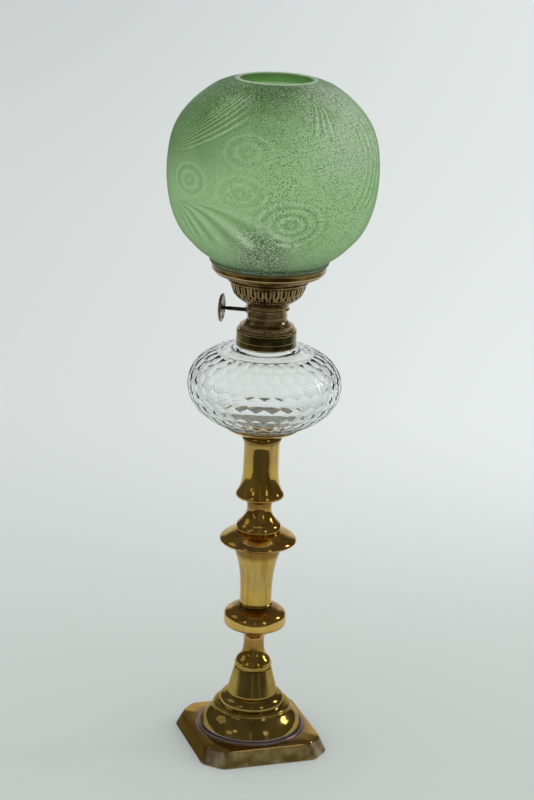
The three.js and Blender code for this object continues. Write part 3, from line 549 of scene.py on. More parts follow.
def foot_loops():
    """Loops of the foot from the outer lower edge, over the top and down inside."""
    plinth = ((50.0, 13.0, 0), (50.3, 13.1, 0.35), (50.2, 13.1, 1.0), (45.5, 11.0, 11.7), (45.1, 10.9, 12.25),
              (44.6, 10.7, 12.4))
    bead = [(bead_rim, 12.4, sharp), (bead_rim, 13.1), (41.0, 13.8), (40.3, 14.0), (39.7, 13.6), (39.4, 12.9, sharp),
            (38.7, 12.8, sharp)]
    dome = [(38.6, 14.2), (38.0, 16.4), (37.2, 18.6), (36.1, 20.9), (34.4, 23.4), (31.9, 26.2), (30.6, 27.9),
            (30.0, 29.2, sharp), (29.8, 29.5), (29.9, 30.5), (29.2, 31.5), (27.7, 32.1), (25.9, 32.3, sharp)]
    cushion = [(25.4, 32.8, sharp), (25.4, 33.6), (25.2, 35.0), (24.4, 36.8), (23.1, 38.4), (21.5, 39.6),
               (20.0, 40.1, sharp), (19.4, 40.5, sharp), (19.4, 41.3, sharp)]
    cone = [(19.3, 41.7, sharp), (14.5, 60.6, sharp), (14.4, 61.0, sharp), (13.6, 61.5, sharp),
            (13.6, stem_foot, sharp), (4.3, stem_foot, sharp)]
    inside = [(4.3, 31.3, sharp), (20.0, 31.3, sharp), (24.5, 29.8), (29.0, 27.6), (32.5, 24.4), (34.6, 20.4),
              (35.1, 16.6), (35.1, 9.3, sharp)]
    under = ((41.9, 10.9, 9.2), (46.4, 12.6, 0))
    square, square_inside = ([(canted_square(half, cant), z) for half, cant, z in rows] for rows in (plinth, under))
    return square + [(circle(r), z) for r, z in rounded(bead + dome + cushion + cone + inside, 5)] + square_inside


def loft(loops):
    places = [(p.x * mm, p.y * mm, z * mm) for loop, z in loops for p in loop]
    count = len(square_angles)
    rings = [range(row * count, (row + 1) * count) for row in range(len(loops))]
    return places, joined(rings + rings[:1])


new_piece("foot_casting", *loft(foot_loops()), foot_finish, "candlestick", "candlestick_base", "brass")
print("foot: loops of", len(square_angles), "corners")

# %% [markdown]
# ## Peg and dish
# The peg hides in the nozzle; only its flange shows. The dish under the font is spun from sheet, so its
# profile is a line with a wall behind it.


# %% Peg and dish
def inside_of(line, wall):
    """The line moved by the wall's thickness to its left, which is the inner side."""
    inner = []
    for i, (r, z) in enumerate(line):
        along = np.array(line[min(i + 1, len(line) - 1)]) - np.array(line[max(i - 1, 0)])
        along = along / max(np.linalg.norm(along), 1e-9)
        inner.append((r - along[1] * wall, z + along[0] * wall))
    return inner


def walled(points, wall):
    """A closed profile for sheet metal: the line and its inner side."""
    line = rounded(points)
    return [(r, z, sharp) for r, z in line + inside_of(line, wall)[::-1]]


flange = bottom_of("peg_dish")
peg = bottom_of("lamp_peg") - flange
peg_profile = lifted([
    (0, peg), (9, peg, sharp), (10, peg + 1, sharp), (10.6, -1.7, sharp), (13.4, -1.7, sharp), (14.0, -1.2),
    (14.0, -0.5), (13.4, 0, sharp), (5, 0, sharp), (5, 1.6, sharp), (0, 1.6),
], flange)
turned("peg_turning", peg_profile, brass, "lamp", "lamp_peg", "brass")
dish_line = lifted([(5.3, 0, sharp), (13.6, 0, sharp), (15.2, 0.15), (18.2, 0.5), (23.3, 2.1), (27.0, 3.9),
                    (28.1, 4.8, sharp), (28.4, 5.0), (28.5, 5.5), (28.4, 6.3, sharp)], flange)
turned("dish_spinning", walled(dish_line, 0.9), brass, "lamp", "peg_dish", "brass")

# %% [markdown]
# ## The pressed glass font
# The mould left staggered rows of six-sided facets, each a shallow dish like a thumb print. Every facet is
# built by itself as a fan of rings round its centre: neighbours share their rims, so the ridges between
# them are crisp, and the hollow follows the square of the distance from the centre. Clear glass shows
# nothing by itself, only what it bends, so the wall has a true inner surface too.


# %% Clear glass
def clear_glass():
    f = Finish("clear_glass")
    streaks = f.noise(60, 3)
    rough = f.step(streaks, 0.55, 0.8) * 0.03
    normal = f.bump(streaks, 0.05, 0.0003)
    return f.surface(f.principled(base_color=(0.99, 1.0, 0.995, 1), roughness=rough, ior=1.5,
                                  transmission_weight=1.0, normal=normal))


font_finish = clear_glass()
print("finish of the font:", font_finish.name)

# %% Facets of the font
font_foot = top_of("peg_dish") + 0.3
comb_columns = 30
comb_rows = 8
facet_depth = 0.9
flat_to_point = 0.866
ring_count = 6
font_outline = [(29.3, 0), (34.4, 2.0), (39.8, 5.0), (45.5, 8.8), (49.6, 12.3), (53.0, 16.7), (55.5, 21.1),
                (57.2, 25.8), (57.9, 31.6), (57.2, 37.5), (55.2, 42.8), (51.5, 48.0), (46.3, 52.4), (40.5, 55.9),
                (35.9, 58.0)]


def measured(line):
    """The line with the distance along it to each point, as a share of the whole."""
    line = np.array(line)
    steps = np.r_[0, np.cumsum(np.linalg.norm(np.diff(line, axis=0), axis=1))]
    return steps / steps[-1], line


def at_share(share, shares, line):
    """The point of a measured line at a share of its length."""
    return [np.interp(share, shares, line[:, k]) for k in (0, 1)]


font_share, font_line = measured(rounded(lifted(font_outline, font_foot), 8))


def on_font(turn, share, depth=0.0):
    """A point of the font's skin, sunk square to it by a depth."""
    share = min(max(share, 0.0), 1.0)
    (r, z), (r1, z1), (r2, z2) = (at_share(s, font_share, font_line) for s in (share, share - 0.01, share + 0.01))
    size = math.hypot(r2 - r1, z2 - z1)
    return polar(r - (z2 - z1) / size * depth, turn, z + (r2 - r1) / size * depth)


print("points of the font's outline:", len(font_line))


# %% One facet
def facet(places, faces, column, row):
    """A hollowed six-sided dish: rings of corners round its middle, and the triangles between them."""
    pitch = 1 / (comb_rows + 1 / 3)
    middle = pitch * (row + 2 / 3)
    centre = 2 * math.pi / comb_columns * (column + (row % 2 + 1) / 2)
    half = math.pi / comb_columns
    corners = [(-half, -pitch / 3), (0, -2 * pitch / 3), (half, -pitch / 3), (half, pitch / 3),
               (0, 2 * pitch / 3), (-half, pitch / 3)]
    outer = [len(places)]
    places.append(on_font(centre, middle, facet_depth))
    for ring in range(1, ring_count + 1):
        inner, outer = outer, [len(places) + k for k in range(6 * ring)]
        out = ring / ring_count
        for k in range(6):
            a, b = corners[k], corners[(k + 1) % 6]
            for t in np.arange(ring) / ring:
                turn, share = (out * (a[i] * (1 - t) + b[i] * t) for i in (0, 1))
                far = math.hypot(turn / half * flat_to_point, share / (2 * pitch / 3))
                depth = facet_depth * max(0.0, 1 - far ** 2)
                places.append(on_font(centre + turn, middle + share, depth))
        for k in range(6):
            for j in range(ring):
                low = [inner[(k * (ring - 1) + j + i - 1) % len(inner)] for i in (0, 1)]
                high = [outer[(k * ring + j + i) % len(outer)] for i in (0, 1)]
                faces.append((low[1], high[0], high[1]))
                if j > 0:
                    faces.append((low[0], high[0], low[1]))


def gap_filler(places, faces, turn, level, up):
    """The triangle between two neighbouring facets of the first or last row; up is 1 or -1."""
    rise = up / (comb_rows + 1 / 3) / 3
    for row in range(ring_count + 1):
        t = row / ring_count
        wide = ring_count - row
        for j in range(wide + 1):
            here, above = len(places), len(places) + wide + 1
            if j < wide:
                faces.append((here, here + 1, above)[::up])
            if j < wide - 1:
                faces.append((here + 1, above + 1, above)[::up])
            lean = (2 * j / wide - 1) * (1 - t) if wide else 0
            place = turn + lean * math.pi / comb_columns, level + t * rise, facet_depth * t * (1 - t)
            places.append(on_font(*place))


def add_to(places, faces, more, more_faces):
    """Appends a second mesh to the first."""
    start = len(places)
    places += more
    faces += [tuple(start + c for c in face) for face in more_faces]


print("facets:", comb_rows * comb_columns)


# %% Body of the font
def font_glass():
    places, faces = [], []
    for row in range(comb_rows):
        for column in range(comb_columns):
            facet(places, faces, column, row)
    for column in range(comb_columns):
        gap_filler(places, faces, 2 * math.pi / comb_columns * (column + 1), 0, 1)
        gap_filler(places, faces, 2 * math.pi / comb_columns * (column + 0.5), 1, -1)
    end, rest = top_of("font_glass") - font_foot, collar_foot - font_foot
    upper = [font_outline[-1], (30.7, 58.9), (26.8, 59.7), (25.0, 60.3), (23.6, rest - 0.7),
             (21.0, rest - 0.3, sharp), (21.0, end, sharp), (19.3, end, sharp), (19.3, rest - 3.5), (26.0, 56.4),
             (32.0, 55.2), (42.2, 50.6), (50.8, 42.6), (53.8, 31.6), (51.5, 21), (41.1, 9.6), (24.3, 4.1), (0, 3.6)]
    lower = [(0, -3.1), (16.9, -3.1), (23.1, -1.8), (26.4, -0.5, sharp), (27.2, 0, sharp), font_outline[0]]
    for points, steps in ((upper, 5), (lower, 4)):
        add_to(places, faces, *spun(rounded(lifted(points, font_foot), steps), comb_columns * ring_count))
    return places, faces


font = new_piece("font_pressing", *font_glass(), font_finish, "lamp", "font_glass", "clear_glass",
                 sharp_angle=18)
print("font corners:", len(font.data.vertices))

# %% [markdown]
# ## Collar, burner and its rings
# These are thin spun and rolled pieces. Small grooves and beads stiffen the sheet, and each one makes a
# bright line in the dark brass, so the profiles show every one of them.

# %% Collar
collar_profile = lifted([
    (21.6, 0.2, sharp), (22.0, 0), (22.4, 0.4), (22.4, 4.1, sharp), (22.0, 4.4, sharp), (22.0, 4.7, sharp),
    (22.4, 5.0, sharp), (22.4, 10.4, sharp), (22.0, 10.7, sharp), (22.0, 11.0, sharp), (22.4, 11.3, sharp),
    (22.3, 12.1), (21.6, 12.8), (21.2, 12.9, sharp), (17.3, 12.9, sharp), (17.3, 2.6, sharp), (18.1, 2.6, sharp),
    (18.1, 12.1, sharp), (21.6, 12.1, sharp),
], collar_foot)
turned("collar_spinning", collar_profile, collar_brass, "lamp", "collar", "dark_brass")

# %% Burner body
flange_foot = bottom_of("burner_body") + 10.2
neck = top_of("burner_body") - flange_foot
body_profile = lifted([
    (0, neck - 0.9), (14.0, neck - 0.9, sharp), (14.0, 6.8), (16.0, 0.9, sharp), (16.0, -10.2, sharp),
    (16.85, -10.2, sharp), (16.85, 0, sharp), (19.9, 0, sharp), (20.3, 0.4), (20.3, 1.4), (19.9, 1.8, sharp),
    (18.9, 2.0), (17.1, 3.3), (15.8, 4.7), (15.2, 5.8, sharp), (14.7, 6.0, sharp), (14.9, 6.3, sharp),
    (14.9, 8.3, sharp), (14.7, 8.5, sharp), (14.9, 8.7, sharp), (14.9, 10.0, sharp), (14.7, 10.2, sharp),
    (14.9, 10.4, sharp), (14.9, neck - 4.3, sharp), (15.7, neck - 4.1), (16.5, neck - 3.1), (15.7, neck - 2.1),
    (14.9, neck - 1.9, sharp), (14.9, neck - 0.2), (14.7, neck, sharp), (0, neck),
], flange_foot)
# The bright lines at these heights of the neck are painted highlights.
neck_brass = burner_brass("neck_brass", (0.26, 0.19, 0.095), (0.52, 0.40, 0.21), 0.16,
                          [flange_foot + z for z in (1.9, 8.5, neck - 1.9)])
turned("burner_spinning", body_profile, neck_brass, "burner", "burner_body", "dark_brass")

# %% Basket rim and shade ring
rim_profile = lifted([
    (27.2, 0, sharp), (29.4, 0, sharp), (30.4, 0.3), (30.8, 1.0), (30.4, 1.7), (29.9, 1.9, sharp), (30.4, 2.1),
    (30.9, 2.9), (30.5, 3.6), (29.6, 3.9, sharp), (27.2, 3.9, sharp),
], bottom_of("basket_rim"))
turned("rim_beads", rim_profile, dark_brass, "burner", "basket_rim", "dark_brass")
ring_line = lifted([
    (28.3, 0, sharp), (31.6, 0, sharp), (34.5, 0.45), (37.6, 1.1), (40.4, 2.6), (41.9, 4.6, sharp),
    (42.1, 4.8, sharp), (42.3, 5.2), (42.5, 7.5), (42.7, 8.4), (42.7, 9.1, sharp),
], bottom_of("shade_ring"))
turned("ring_spinning", walled(ring_line, 0.8), ring_brass, "burner", "shade_ring", "dark_brass")

# %% [markdown]
# ## The pierced basket
# Air reaches the flame through upright slots, and below them two rows of small holes that look like lace.
# Each opening sits in its own patch of the bowl: rings of faces join the patch's square rim to the opening's
# oval rim, and the ring next to the opening stands a little proud, as sheet does round a punch. A Solidify
# modifier gives the thickness.

# %% Basket
basket_foot = bottom_of("gallery_basket")
basket_line = lifted([(15.8, 0), (18.2, 1.8), (22.0, 4.6), (25.1, 7.8), (27.2, 12.4), (28.1, 15.6),
                      (28.4, top_of("gallery_basket") - basket_foot)], basket_foot)
basket_share, basket_points = measured(rounded(basket_line, 6))
rim_count = 16
squareness = 0.75
band_steps = slot_count * rim_count // 2
# Each row: its turn in steps of the slots, where it starts and ends, and the half width and half height.
opening_rows = ((0, 0.66, 0.965, 0.024, 0.120), (0.5, 0.52, 0.66, 0.034, 0.045), (0, 0.40, 0.52, 0.026, 0.030))


def patch(places, faces, centre, low, high, width, height):
    """A piece of the bowl with an oval opening; the rim of the opening is pressed outwards."""
    half, tall, middle = math.pi / slot_count, (high - low) / 2, (low + high) / 2
    start = len(places)
    side_count = rim_count // 4
    for k in range(rim_count):
        quarter, t = k // side_count, k % side_count / side_count * 2 - 1
        square = [(1, t), (-t, 1), (-1, -t), (t, -1)][quarter]
        angle = math.atan2(square[1], square[0])
        oval = [math.copysign(abs(v) ** squareness, v) for v in (math.cos(angle), math.sin(angle))]
        for share, proud in ((0, 0), (0.55, 0), (0.82, 0.22), (1, 0.08)):
            turn = square[0] * half * (1 - share) + oval[0] * width * share
            up = square[1] * tall * (1 - share) + oval[1] * height * share
            r, z = at_share(middle + up, basket_share, basket_points)
            places.append(polar(r + proud, centre + turn, z))
    for k in range(rim_count):
        a, b = start + 4 * k, start + 4 * ((k + 1) % rim_count)
        faces += [(a + i, b + i, b + i + 1, a + i + 1) for i in range(3)]


def basket():
    """Three rows of openings, plain bands below and above them, and a narrow flange under the bowl."""
    places, faces = [], []
    step = 2 * math.pi / slot_count
    for i in range(slot_count):
        for shift, *sizes in opening_rows:
            patch(places, faces, (i + shift) * step, *sizes)
    for low, high in ((0, opening_rows[-1][1]), (opening_rows[0][2], 1)):
        line = [at_share(s, basket_share, basket_points) for s in np.linspace(low, high, 7)]
        add_to(places, faces, *spun(line, band_steps))
    add_to(places, faces, *spun([(12.0, basket_foot), basket_line[0]], band_steps))
    return places, faces


bowl = new_piece("basket_piercing", *basket(), basket_brass, "burner", "gallery_basket", "dark_brass",
                 sharp_angle=40, weld=True)
sheet = bowl.modifiers.new("wall", "SOLIDIFY")
sheet.thickness = 0.7 * mm
sheet.offset = -1
print("openings of the basket:", slot_count * len(opening_rows))

# %% [markdown]
# ## The winder
# The wheel, its spindle and a bush share one axis across the lamp. Each is turned about Z like the other
# pieces and then laid over, with the same turn and place for all of them.

# %% Winder
winder_joint = next(j for j in frame["joints"] if j["name"] == "winder_spin")
winder_axis = Vector(winder_joint["axis"])
winder_place = Vector(winder_joint["pos_m"])
lay_over = Matrix.Translation(winder_place) @ winder_axis.to_track_quat("Z", "Y").to_matrix().to_4x4()
winder_steps = 72
wheel_profile = lifted([
    (1.55, 0, sharp), (2.6, 0, sharp), (3.1, 0.25), (3.6, 0.7), (4.6, 0.8), (7.2, 0.8), (7.9, 0.5), (8.4, 0.1),
    (9.2, 0.0), (10.2, 0.3), (10.8, 1.0), (10.8, 1.3), (10.2, 2.0), (9.2, 2.3), (8.4, 2.2), (7.9, 1.8),
    (7.2, 1.5), (4.6, 1.5), (3.6, 1.6), (3.1, 2.0), (2.6, 2.3, sharp), (1.55, 2.3, sharp),
], 34.2)
spindle_profile = [
    (0, -11.8), (1.5, -11.8, sharp), (1.5, 30.0, sharp), (1.3, 30.4, sharp), (1.3, 33.6, sharp), (1.5, 34.0, sharp),
    (1.5, 36.9), (1.1, 37.1, sharp), (0, 37.1),
]
bush_profile = [(1.7, 13.9, sharp), (2.5, 13.9, sharp), (2.5, 15.9), (2.2, 16.7, sharp), (1.7, 16.7, sharp)]
for name, profile, finish, body, node in (
        ("wheel_turning", wheel_profile, wheel_brass, "winder", "winder_wheel"),
        ("spindle_turning", spindle_profile, spindle_brass, "winder", "winder_spindle"),
        ("bush_turning", bush_profile, dark_brass, "burner", "winder_bush")):
    turned(name, profile, finish, body, node, "dark_brass", lay_over, winder_steps)
print("winder axis:", [round(c, 3) for c in winder_axis])

# %% [markdown]
# ## The ball shade
# The shade was blown into a mould. Painted shade deepens the green on the upper left shoulder, over the
# combed lines high on the right, under the ball and on the fitter, which is also thick glass; a painted
# shadow of the burner darkens the front where the burner stands behind it. Silvery grains of etching crowd
# on the right, at the foot and over the burner, with dark specks between them. The finish lays these over one
# green, and mixes a skin that scatters light with one that lets it through. The moulded lines are ridges and
# grooves of the mesh; an attribute named relief carries them to the finish, which paints ridges paler as a
# painted highlight and grooves darker as painted shade.

# %% Green glass of the shade
shade_foot = bottom_of("shade_glass")
shade_mid = (shade_foot + top_of("shade_glass")) / 2
shade_mouth = top_of("shade_glass") - shade_mid


def frosted_green():
    f = Finish("frosted_green")
    spot = f.place()
    height = f.axis(spot, 2) / mm - shade_mid
    across, toward = (f.along(spot, way) / mm for way in (side, front))
    moulded = f.add("ShaderNodeAttribute", output=2, attribute_name="relief")
    # ridges get a painted highlight, grooves painted shade
    ridge, groove = (f.step(moulded, 0.0, end) for end in (1.0, -1.0))
    patches = f.noise(19, 3, spot)
    drift = f.noise(42, 3, spot)
    crowd = f.noise(70, 2, spot)
    behind = f.step(toward, -10, -50)
    # painted shade: the upper left of the ball darker, weaker on its back
    shoulder_shade = f.step(height + drift * 16 - across * 0.40, 18, 80) * (1 - behind * 0.7)
    # painted shade over the combed lines high on the right
    comb_painted_shade = f.near(across, 33, 22) * f.step(height, 42, 54)
    # the lower part of the ball: painted shade under it, and more silvery grains
    low = f.step(height, -44, -62)
    # the fitter: thick dark glass, with painted shade under the ball
    fitter = f.step(height, -58.5, -62.5)
    # painted shadow of the burner, seen through the front of the ball; grains crowd there too
    burner_shadow_zone = (f.step(toward, 20, 50) * f.step(height + drift * 14 - 7, -20, -34)
                     * f.step(abs(across + 6), 34, 6))
    silver_side = f.step(across + drift * 30, 26, 66) * f.step(height, -8, 34)
    silver = (silver_side + low * 0.7 + burner_shadow_zone * 1.2 + f.step(height + drift * 20, 54, 76) * 0.3
              + f.step(patches, 0.40, 0.68) * 0.25).clamped() * (1 - fitter * 0.85)
    specks = f.dots(760, 0.44, spot) * (0.30 + 0.55 * f.step(across + drift * 60, -12, 40)) * (0.55 + crowd)
    grains = f.dots(880, 0.50, spot)
    lip = f.step(height, shade_mouth - 1.9, shade_mouth - 1.4)
    facing = f.add("ShaderNodeLayerWeight", {"Blend": 0.35}, 1)
    colour = f.layered(
        (0.50, 0.765, 0.405),
        # painted shade on the upper left shoulder
        (shoulder_shade, (0.05, 0.15, 0.025)),
        # painted shade over the combed lines
        (comb_painted_shade * 0.55, (0.11, 0.23, 0.07)),
        (f.step(patches, 0.42, 0.70) * 0.35, (0.30, 0.53, 0.21)),
        # painted shade under the ball
        (low * 0.75, (0.15, 0.23, 0.09)),
        # painted shadow of the burner
        (burner_shadow_zone * 0.85, (0.085, 0.13, 0.05)),
        (silver_side * 0.5, (0.50, 0.60, 0.50)),
        # painted shade in the grooves
        (groove * (0.25 + drift * 0.4), (0.10, 0.25, 0.06)),
        # painted highlight on the ridges
        (ridge * (0.75 - shoulder_shade * 0.35), (0.66, 0.88, 0.56)),
        # thick glass of the fitter, darkened further by painted shade
        (fitter * 0.9, (0.03, 0.065, 0.018)),
        (specks.clamped(), (0.075, 0.15, 0.055)),
        (grains * (0.16 + 0.72 * silver) * (0.4 + 1.1 * crowd), (0.80, 0.88, 0.68)),
        (lip * 0.7, (0.70, 0.82, 0.64)),
        (f.step(facing, 0.45, 0.9) * 0.55, (0.10, 0.22, 0.06)))
    normal = f.bump(grains * 0.6 - specks, 0.6, 0.0005)
    skin = f.principled(base_color=colour, roughness=0.45, ior=1.45, normal=normal)
    through = f.add("ShaderNodeBsdfTranslucent", {"Color": (0.52, 0.78, 0.40, 1), "Normal": normal})
    # Less light passes where shade and the burner's shadow are painted, and through the thick fitter.
    thin = 0.40 + behind * 0.2 - shoulder_shade * 0.22 - burner_shadow_zone * 0.25 - fitter * 0.3
    return f.surface(f.add("ShaderNodeMixShader", {0: thin.clamped(), 1: skin, 2: through}))


def inner_face():
    """The smooth inside of the shade, which is seen only as a faint sheen."""
    f = Finish("shade_inside")
    sheen = f.principled(base_color=(0.76, 0.98, 0.66, 1), roughness=0.2 + f.noise(30, 2) * 0.2)
    clear = f.add("ShaderNodeBsdfTransparent")
    return f.surface(f.add("ShaderNodeMixShader", {0: 0.2, 1: clear, 2: sheen}))


shade_finish = frosted_green()
inside_finish = inner_face()
print("finishes of the shade:", shade_finish.name, inside_finish.name)

# %% [markdown]
# The mould's ornament is made of sets of lines: ovals one inside the other, combed lines that spread from
# one side, petals that leave one point, and arcs side by side. Each set is a wave over the ball, 1 on a
# ridge and -1 in a groove, that fades out at its ends.

# %% Relief of the shade
globe_line = [(43.9, 9.4), (46.2, 11.3), (49.6, 13.4), (54.0, 16.8), (59.3, 22.0), (64.9, 28.1), (69.4, 35.1),
              (72.9, 43.2), (75.5, 52.3), (77.1, 62.2), (77.8, 72), (77.6, 82), (76.5, 92.5), (74.2, 102.4),
              (70.2, 111.4), (64.1, 120.0), (56.5, 127.8), (49.4, 133.4), (43.0, 137.2), (36.0, 140.0),
              (31.5, 141.3), (28.8, 142.0), (27.6, 142.1), (26.6, 141.8), (26.2, 141.0)]
relief_height = 0.8
fade_in, fade_out = 8, 12
relief_lean = 0.9


def ovals(across, up, wide, tall, rings):
    """Ridges one inside the other round a boss: 1 on a ridge, -1 in the groove between two."""
    reach = math.hypot(across / wide, up / tall)
    return max(0.0, min(1, (1.3 - reach) / 0.25)) * math.cos(2 * math.pi * rings * reach)


def combed(along, up, lines, bend, spread, lean):
    """Ridges that start together at one side and sweep apart to the other; along runs from 0 to 1."""
    if not 0 < along < 1:
        return 0.0
    place = (up - bend * along ** lean) / (spread * (0.12 + 0.88 * along))
    if abs(place) > 1:
        return 0.0
    fade = min(1, along * 6, (1 - along) * 4, (1 - abs(place)) * 6)
    return fade * math.cos(place * math.pi * lines)


def petals(along, up, lines, widest, tightest, droop):
    """Ridges that leave one point side by side and bend down, the lowest first."""
    drop = 0.2 * along - up
    if along < 1 or drop < along ** 3 * 10 ** (widest - 0.1) or up < -droop:
        return 0.0
    place = (math.log10(drop / along ** 3) - widest) / (tightest - widest)
    if place > 1.1:
        return 0.0
    fade = min(1, (along - 1) / 8, (up + droop) / 8)
    return fade * math.cos(2 * math.pi * place * (lines - 1))


def arcs(across, up, inner, outer, lines, first, last):
    """Ridges that run side by side from one oval to a larger one, between two angles."""
    wide, tall = ((inner[i] + outer[i]) / 2 for i in (0, 1))
    reach = math.hypot(across / wide, up / tall)
    c, s = across / wide / max(reach, 1e-6), up / tall / max(reach, 1e-6)
    angle = (math.degrees(math.atan2(s, c)) - first) % 360 + first
    if angle > last:
        return 0.0
    step = ((outer[0] - inner[0]) * c, (outer[1] - inner[1]) * s)
    place = ((across - inner[0] * c) * step[0] + (up - inner[1] * s) * step[1]) / (step[0] ** 2 + step[1] ** 2)
    if not -0.1 < place < 1.1:
        return 0.0
    fade = min(1, (angle - first) / 25, (last - angle) / 25)
    return fade * math.cos(2 * math.pi * place * (lines - 1))


# Each oval: its strength, the turn and height of its boss, its half width and half height, and its rings.
oval_sets = ((0.85, 100.4, -21, 18, 16, 3), (0.6, 40, 4, 12.5, 12, 2), (0.45, 75.7, 29, 13.6, 11.7, 2),
             (0.45, 72.9, 0, 14, 12.3, 2))


def shade_relief(turn, height):
    """Ridges and grooves at a turn round the ball and a height over its middle. The back repeats the front."""
    a = math.degrees(turn - foot_turn) % 180
    total = sum(share * ovals(a - at, height - up, *sizes) for share, at, up, *sizes in oval_sets)
    total += combed((a - 17) / 62, height - 24, 8, 56, 29, 1.44)
    total += petals(a - 14, height + 16, 6, -4.25, -2.3, 28)
    total += 0.8 * arcs(a - 100, height - 30, (50, 60), (68, 80), 4, 305, 395)
    total += combed((77 - height) / 42, a - 127, 4, -8, 12, 1.2)
    total += combed((68 - height) / 44, a - 147, 3, 3, 9, 1.2)
    return max(-1.0, min(total, 1.0))


print("relief on the nearest boss:", round(shade_relief(foot_turn + math.radians(100.4), -21), 2))

# %% Body of the shade
shade_steps = 480
shade_wall = 2.7
mouth_curl = 137.2
fitter_line = [(36.8, 0.2, sharp), (37.3, 0), (39.0, 0), (40.2, 0.8), (40.9, 3.0), (41.2, 5.8, sharp), (43.2, 6.4),
               (44.2, 7.8), (43.9, 9.4)]


def shade_ball():
    """The mesh of the shade, the relief at its corners, and which faces look inwards."""
    fitter = rounded(lifted(fitter_line, shade_foot), 6)
    globe = rounded(lifted(globe_line, shade_foot), 9)
    below_mouth = [p for p in globe if p[1] < shade_foot + mouth_curl]
    inner = inside_of(below_mouth, shade_wall)[2:-2:4]
    line = fitter[:-1] + globe + inner[::-1] + [(38.3, shade_foot + 8.5), (36.8, shade_foot + 3.0), fitter[0]]
    places, faces = spun(line, shade_steps)
    ridges = np.zeros(len(places))
    # The relief fades in over the first rows of the globe and out over the last rows below the mouth.
    first, last = len(fitter) + 4, len(fitter) + len(below_mouth)
    for i in range(first * shade_steps, last * shade_steps):
        x, y, z = places[i]
        row = i // shade_steps
        fade = min(1, (row - first) / fade_in, (last - row) / fade_out)
        ridges[i] = fade * shade_relief(math.atan2(y, x), z / mm - shade_mid)
        out = Vector((x, y, (z - shade_mid * mm) * relief_lean)).normalized()
        places[i] = Vector(places[i]) - out * relief_height * (fade - ridges[i]) / 2 * mm
    outside = (len(fitter) + len(globe)) * shade_steps
    return places, faces, ridges, [int(face[0] > outside) for face in faces]


shade_places, shade_faces, shade_ridges, shade_sides = shade_ball()
shade = new_piece("shade_blowing", shade_places, shade_faces, shade_finish, "shade", "shade_glass",
                  "green_glass", sharp_angle=50)
shade.data.attributes.new("relief", "FLOAT", "POINT").data.foreach_set("value", shade_ridges)
shade.data.materials.append(inside_finish)
shade.data.polygons.foreach_set("material_index", shade_sides)
print("shade corners:", len(shade.data.vertices))

# %% [markdown]
# ## Pieces that keep their solids
# Inside the burner and under the foot the solids are right as they are. They get finishes of their own:
# steel, plaster, leather, cotton and the burner's brass.


# %% Small finishes
def plain_finish(name, light, dark, scale, roughness, metallic, depth):
    f = Finish(name)
    clouds = f.noise(scale, 4)
    colour = f.mix(f.step(clouds, 0.35, 0.65), dark, light)
    return f.surface(f.principled(base_color=colour, roughness=roughness + clouds * 0.1, metallic=metallic,
                                  normal=f.bump(clouds, 0.4, depth)))


steel = plain_finish("dull_steel", (0.42, 0.42, 0.43), (0.25, 0.24, 0.24), 300, 0.38, 1.0, 0.0001)
plaster = plain_finish("plaster", (0.72, 0.68, 0.58), (0.58, 0.54, 0.45), 500, 0.85, 0.0, 0.0002)
leather = plain_finish("leather", (0.16, 0.10, 0.06), (0.08, 0.05, 0.03), 900, 0.65, 0.0, 0.0002)
cotton = plain_finish("cotton", (0.78, 0.73, 0.60), (0.60, 0.55, 0.44), 1500, 0.9, 0.0, 0.0002)
kept = ((steel, "base_washer base_nut"), (plaster, "peg_cement collar_cement"), (leather, "sealing_washer"),
        (cotton, "wick"), (dark_brass, "wick_tube wick_cog_inner wick_cog_outer air_plate flame_dome chimney_holder"))
for finish, nodes in kept:
    for node in nodes.split():
        materials = frame["nodes"][node].data.materials
        materials.clear()
        materials.append(finish)
    print(f"{finish.name}: {nodes}")

# %% [markdown]
# ## Studio
# The lamp was photographed on a pale table with a pale backdrop, in a room that is otherwise dark, and brass
# mirrors these three. Seen from above, an upright wall of brass mirrors the table, and the higher it stands
# the farther out. So the nozzle has golden flanks from the table, a dark middle from the room beyond the
# table's front edge, and the burner, higher up, is dark nearly all round. The Light Path node tells what kind
# of ray looks: mirrored rays see the table and the room, and the camera sees pale all round, so that the
# lamp stands on a pale ground from the other sides too.

# %% Ground
table_front, table_side = 0.41, 0.95
room_dark = (0.105, 0.100, 0.080)
backdrop_pale = (0.68, 0.70, 0.70)


def seen_in_glass(f):
    """1 for a ray that has already passed through glass."""
    return f.step(f.ray("Transmission Depth"), 0.2, 0.8)


def ground_finish():
    f = Finish("ground")
    spot = f.place()
    behind, across = f.along(spot, -front), f.along(spot, side)
    beyond = f.step(behind, 0.15, 0.9)
    # painted light: the table lighter to the right behind the lamp
    painted_light_right = f.step(across / (behind * 0.28 + 0.55), -0.55, 0.6)
    # painted light falloff: darker in front of the lamp and far behind it, lighter to the right
    colour = f.layered(
        (0.690, 0.715, 0.700),
        (f.step(behind, 1.5, 5.0), (0.630, 0.658, 0.650)),
        (f.step(behind, 0.9, -0.15), (0.575, 0.612, 0.590)),
        (painted_light_right * beyond, (0.825, 0.855, 0.845)))
    pale = f.principled(base_color=colour, roughness=0.8, specular_ior_level=0.1)
    table_ends = (f.step(behind, -table_front, -table_front - 0.06)
                  + f.step(abs(across), table_side, table_side + 0.25)).clamped()
    mirrored = f.ray("Is Glossy Ray") * (1 - seen_in_glass(f))
    room = f.add("ShaderNodeEmission", {"Color": rgba(room_dark), "Strength": 1.0})
    return f.surface(f.add("ShaderNodeMixShader", {0: table_ends * mirrored, 1: pale, 2: room}))


def make_ground():
    near_end, far_end, wide = front * 7.0, front * -12.0, side * 7.0
    mesh = bpy.data.meshes.new("ground")
    mesh.from_pydata([near_end - wide, near_end + wide, far_end + wide, far_end - wide], [], [(0, 1, 2, 3)])
    mesh.materials.append(ground_finish())
    ground = bpy.data.objects.new("ground", mesh)
    scene.collection.objects.link(ground)


make_ground()
print("table, m: front edge", table_front, "sides", table_side)


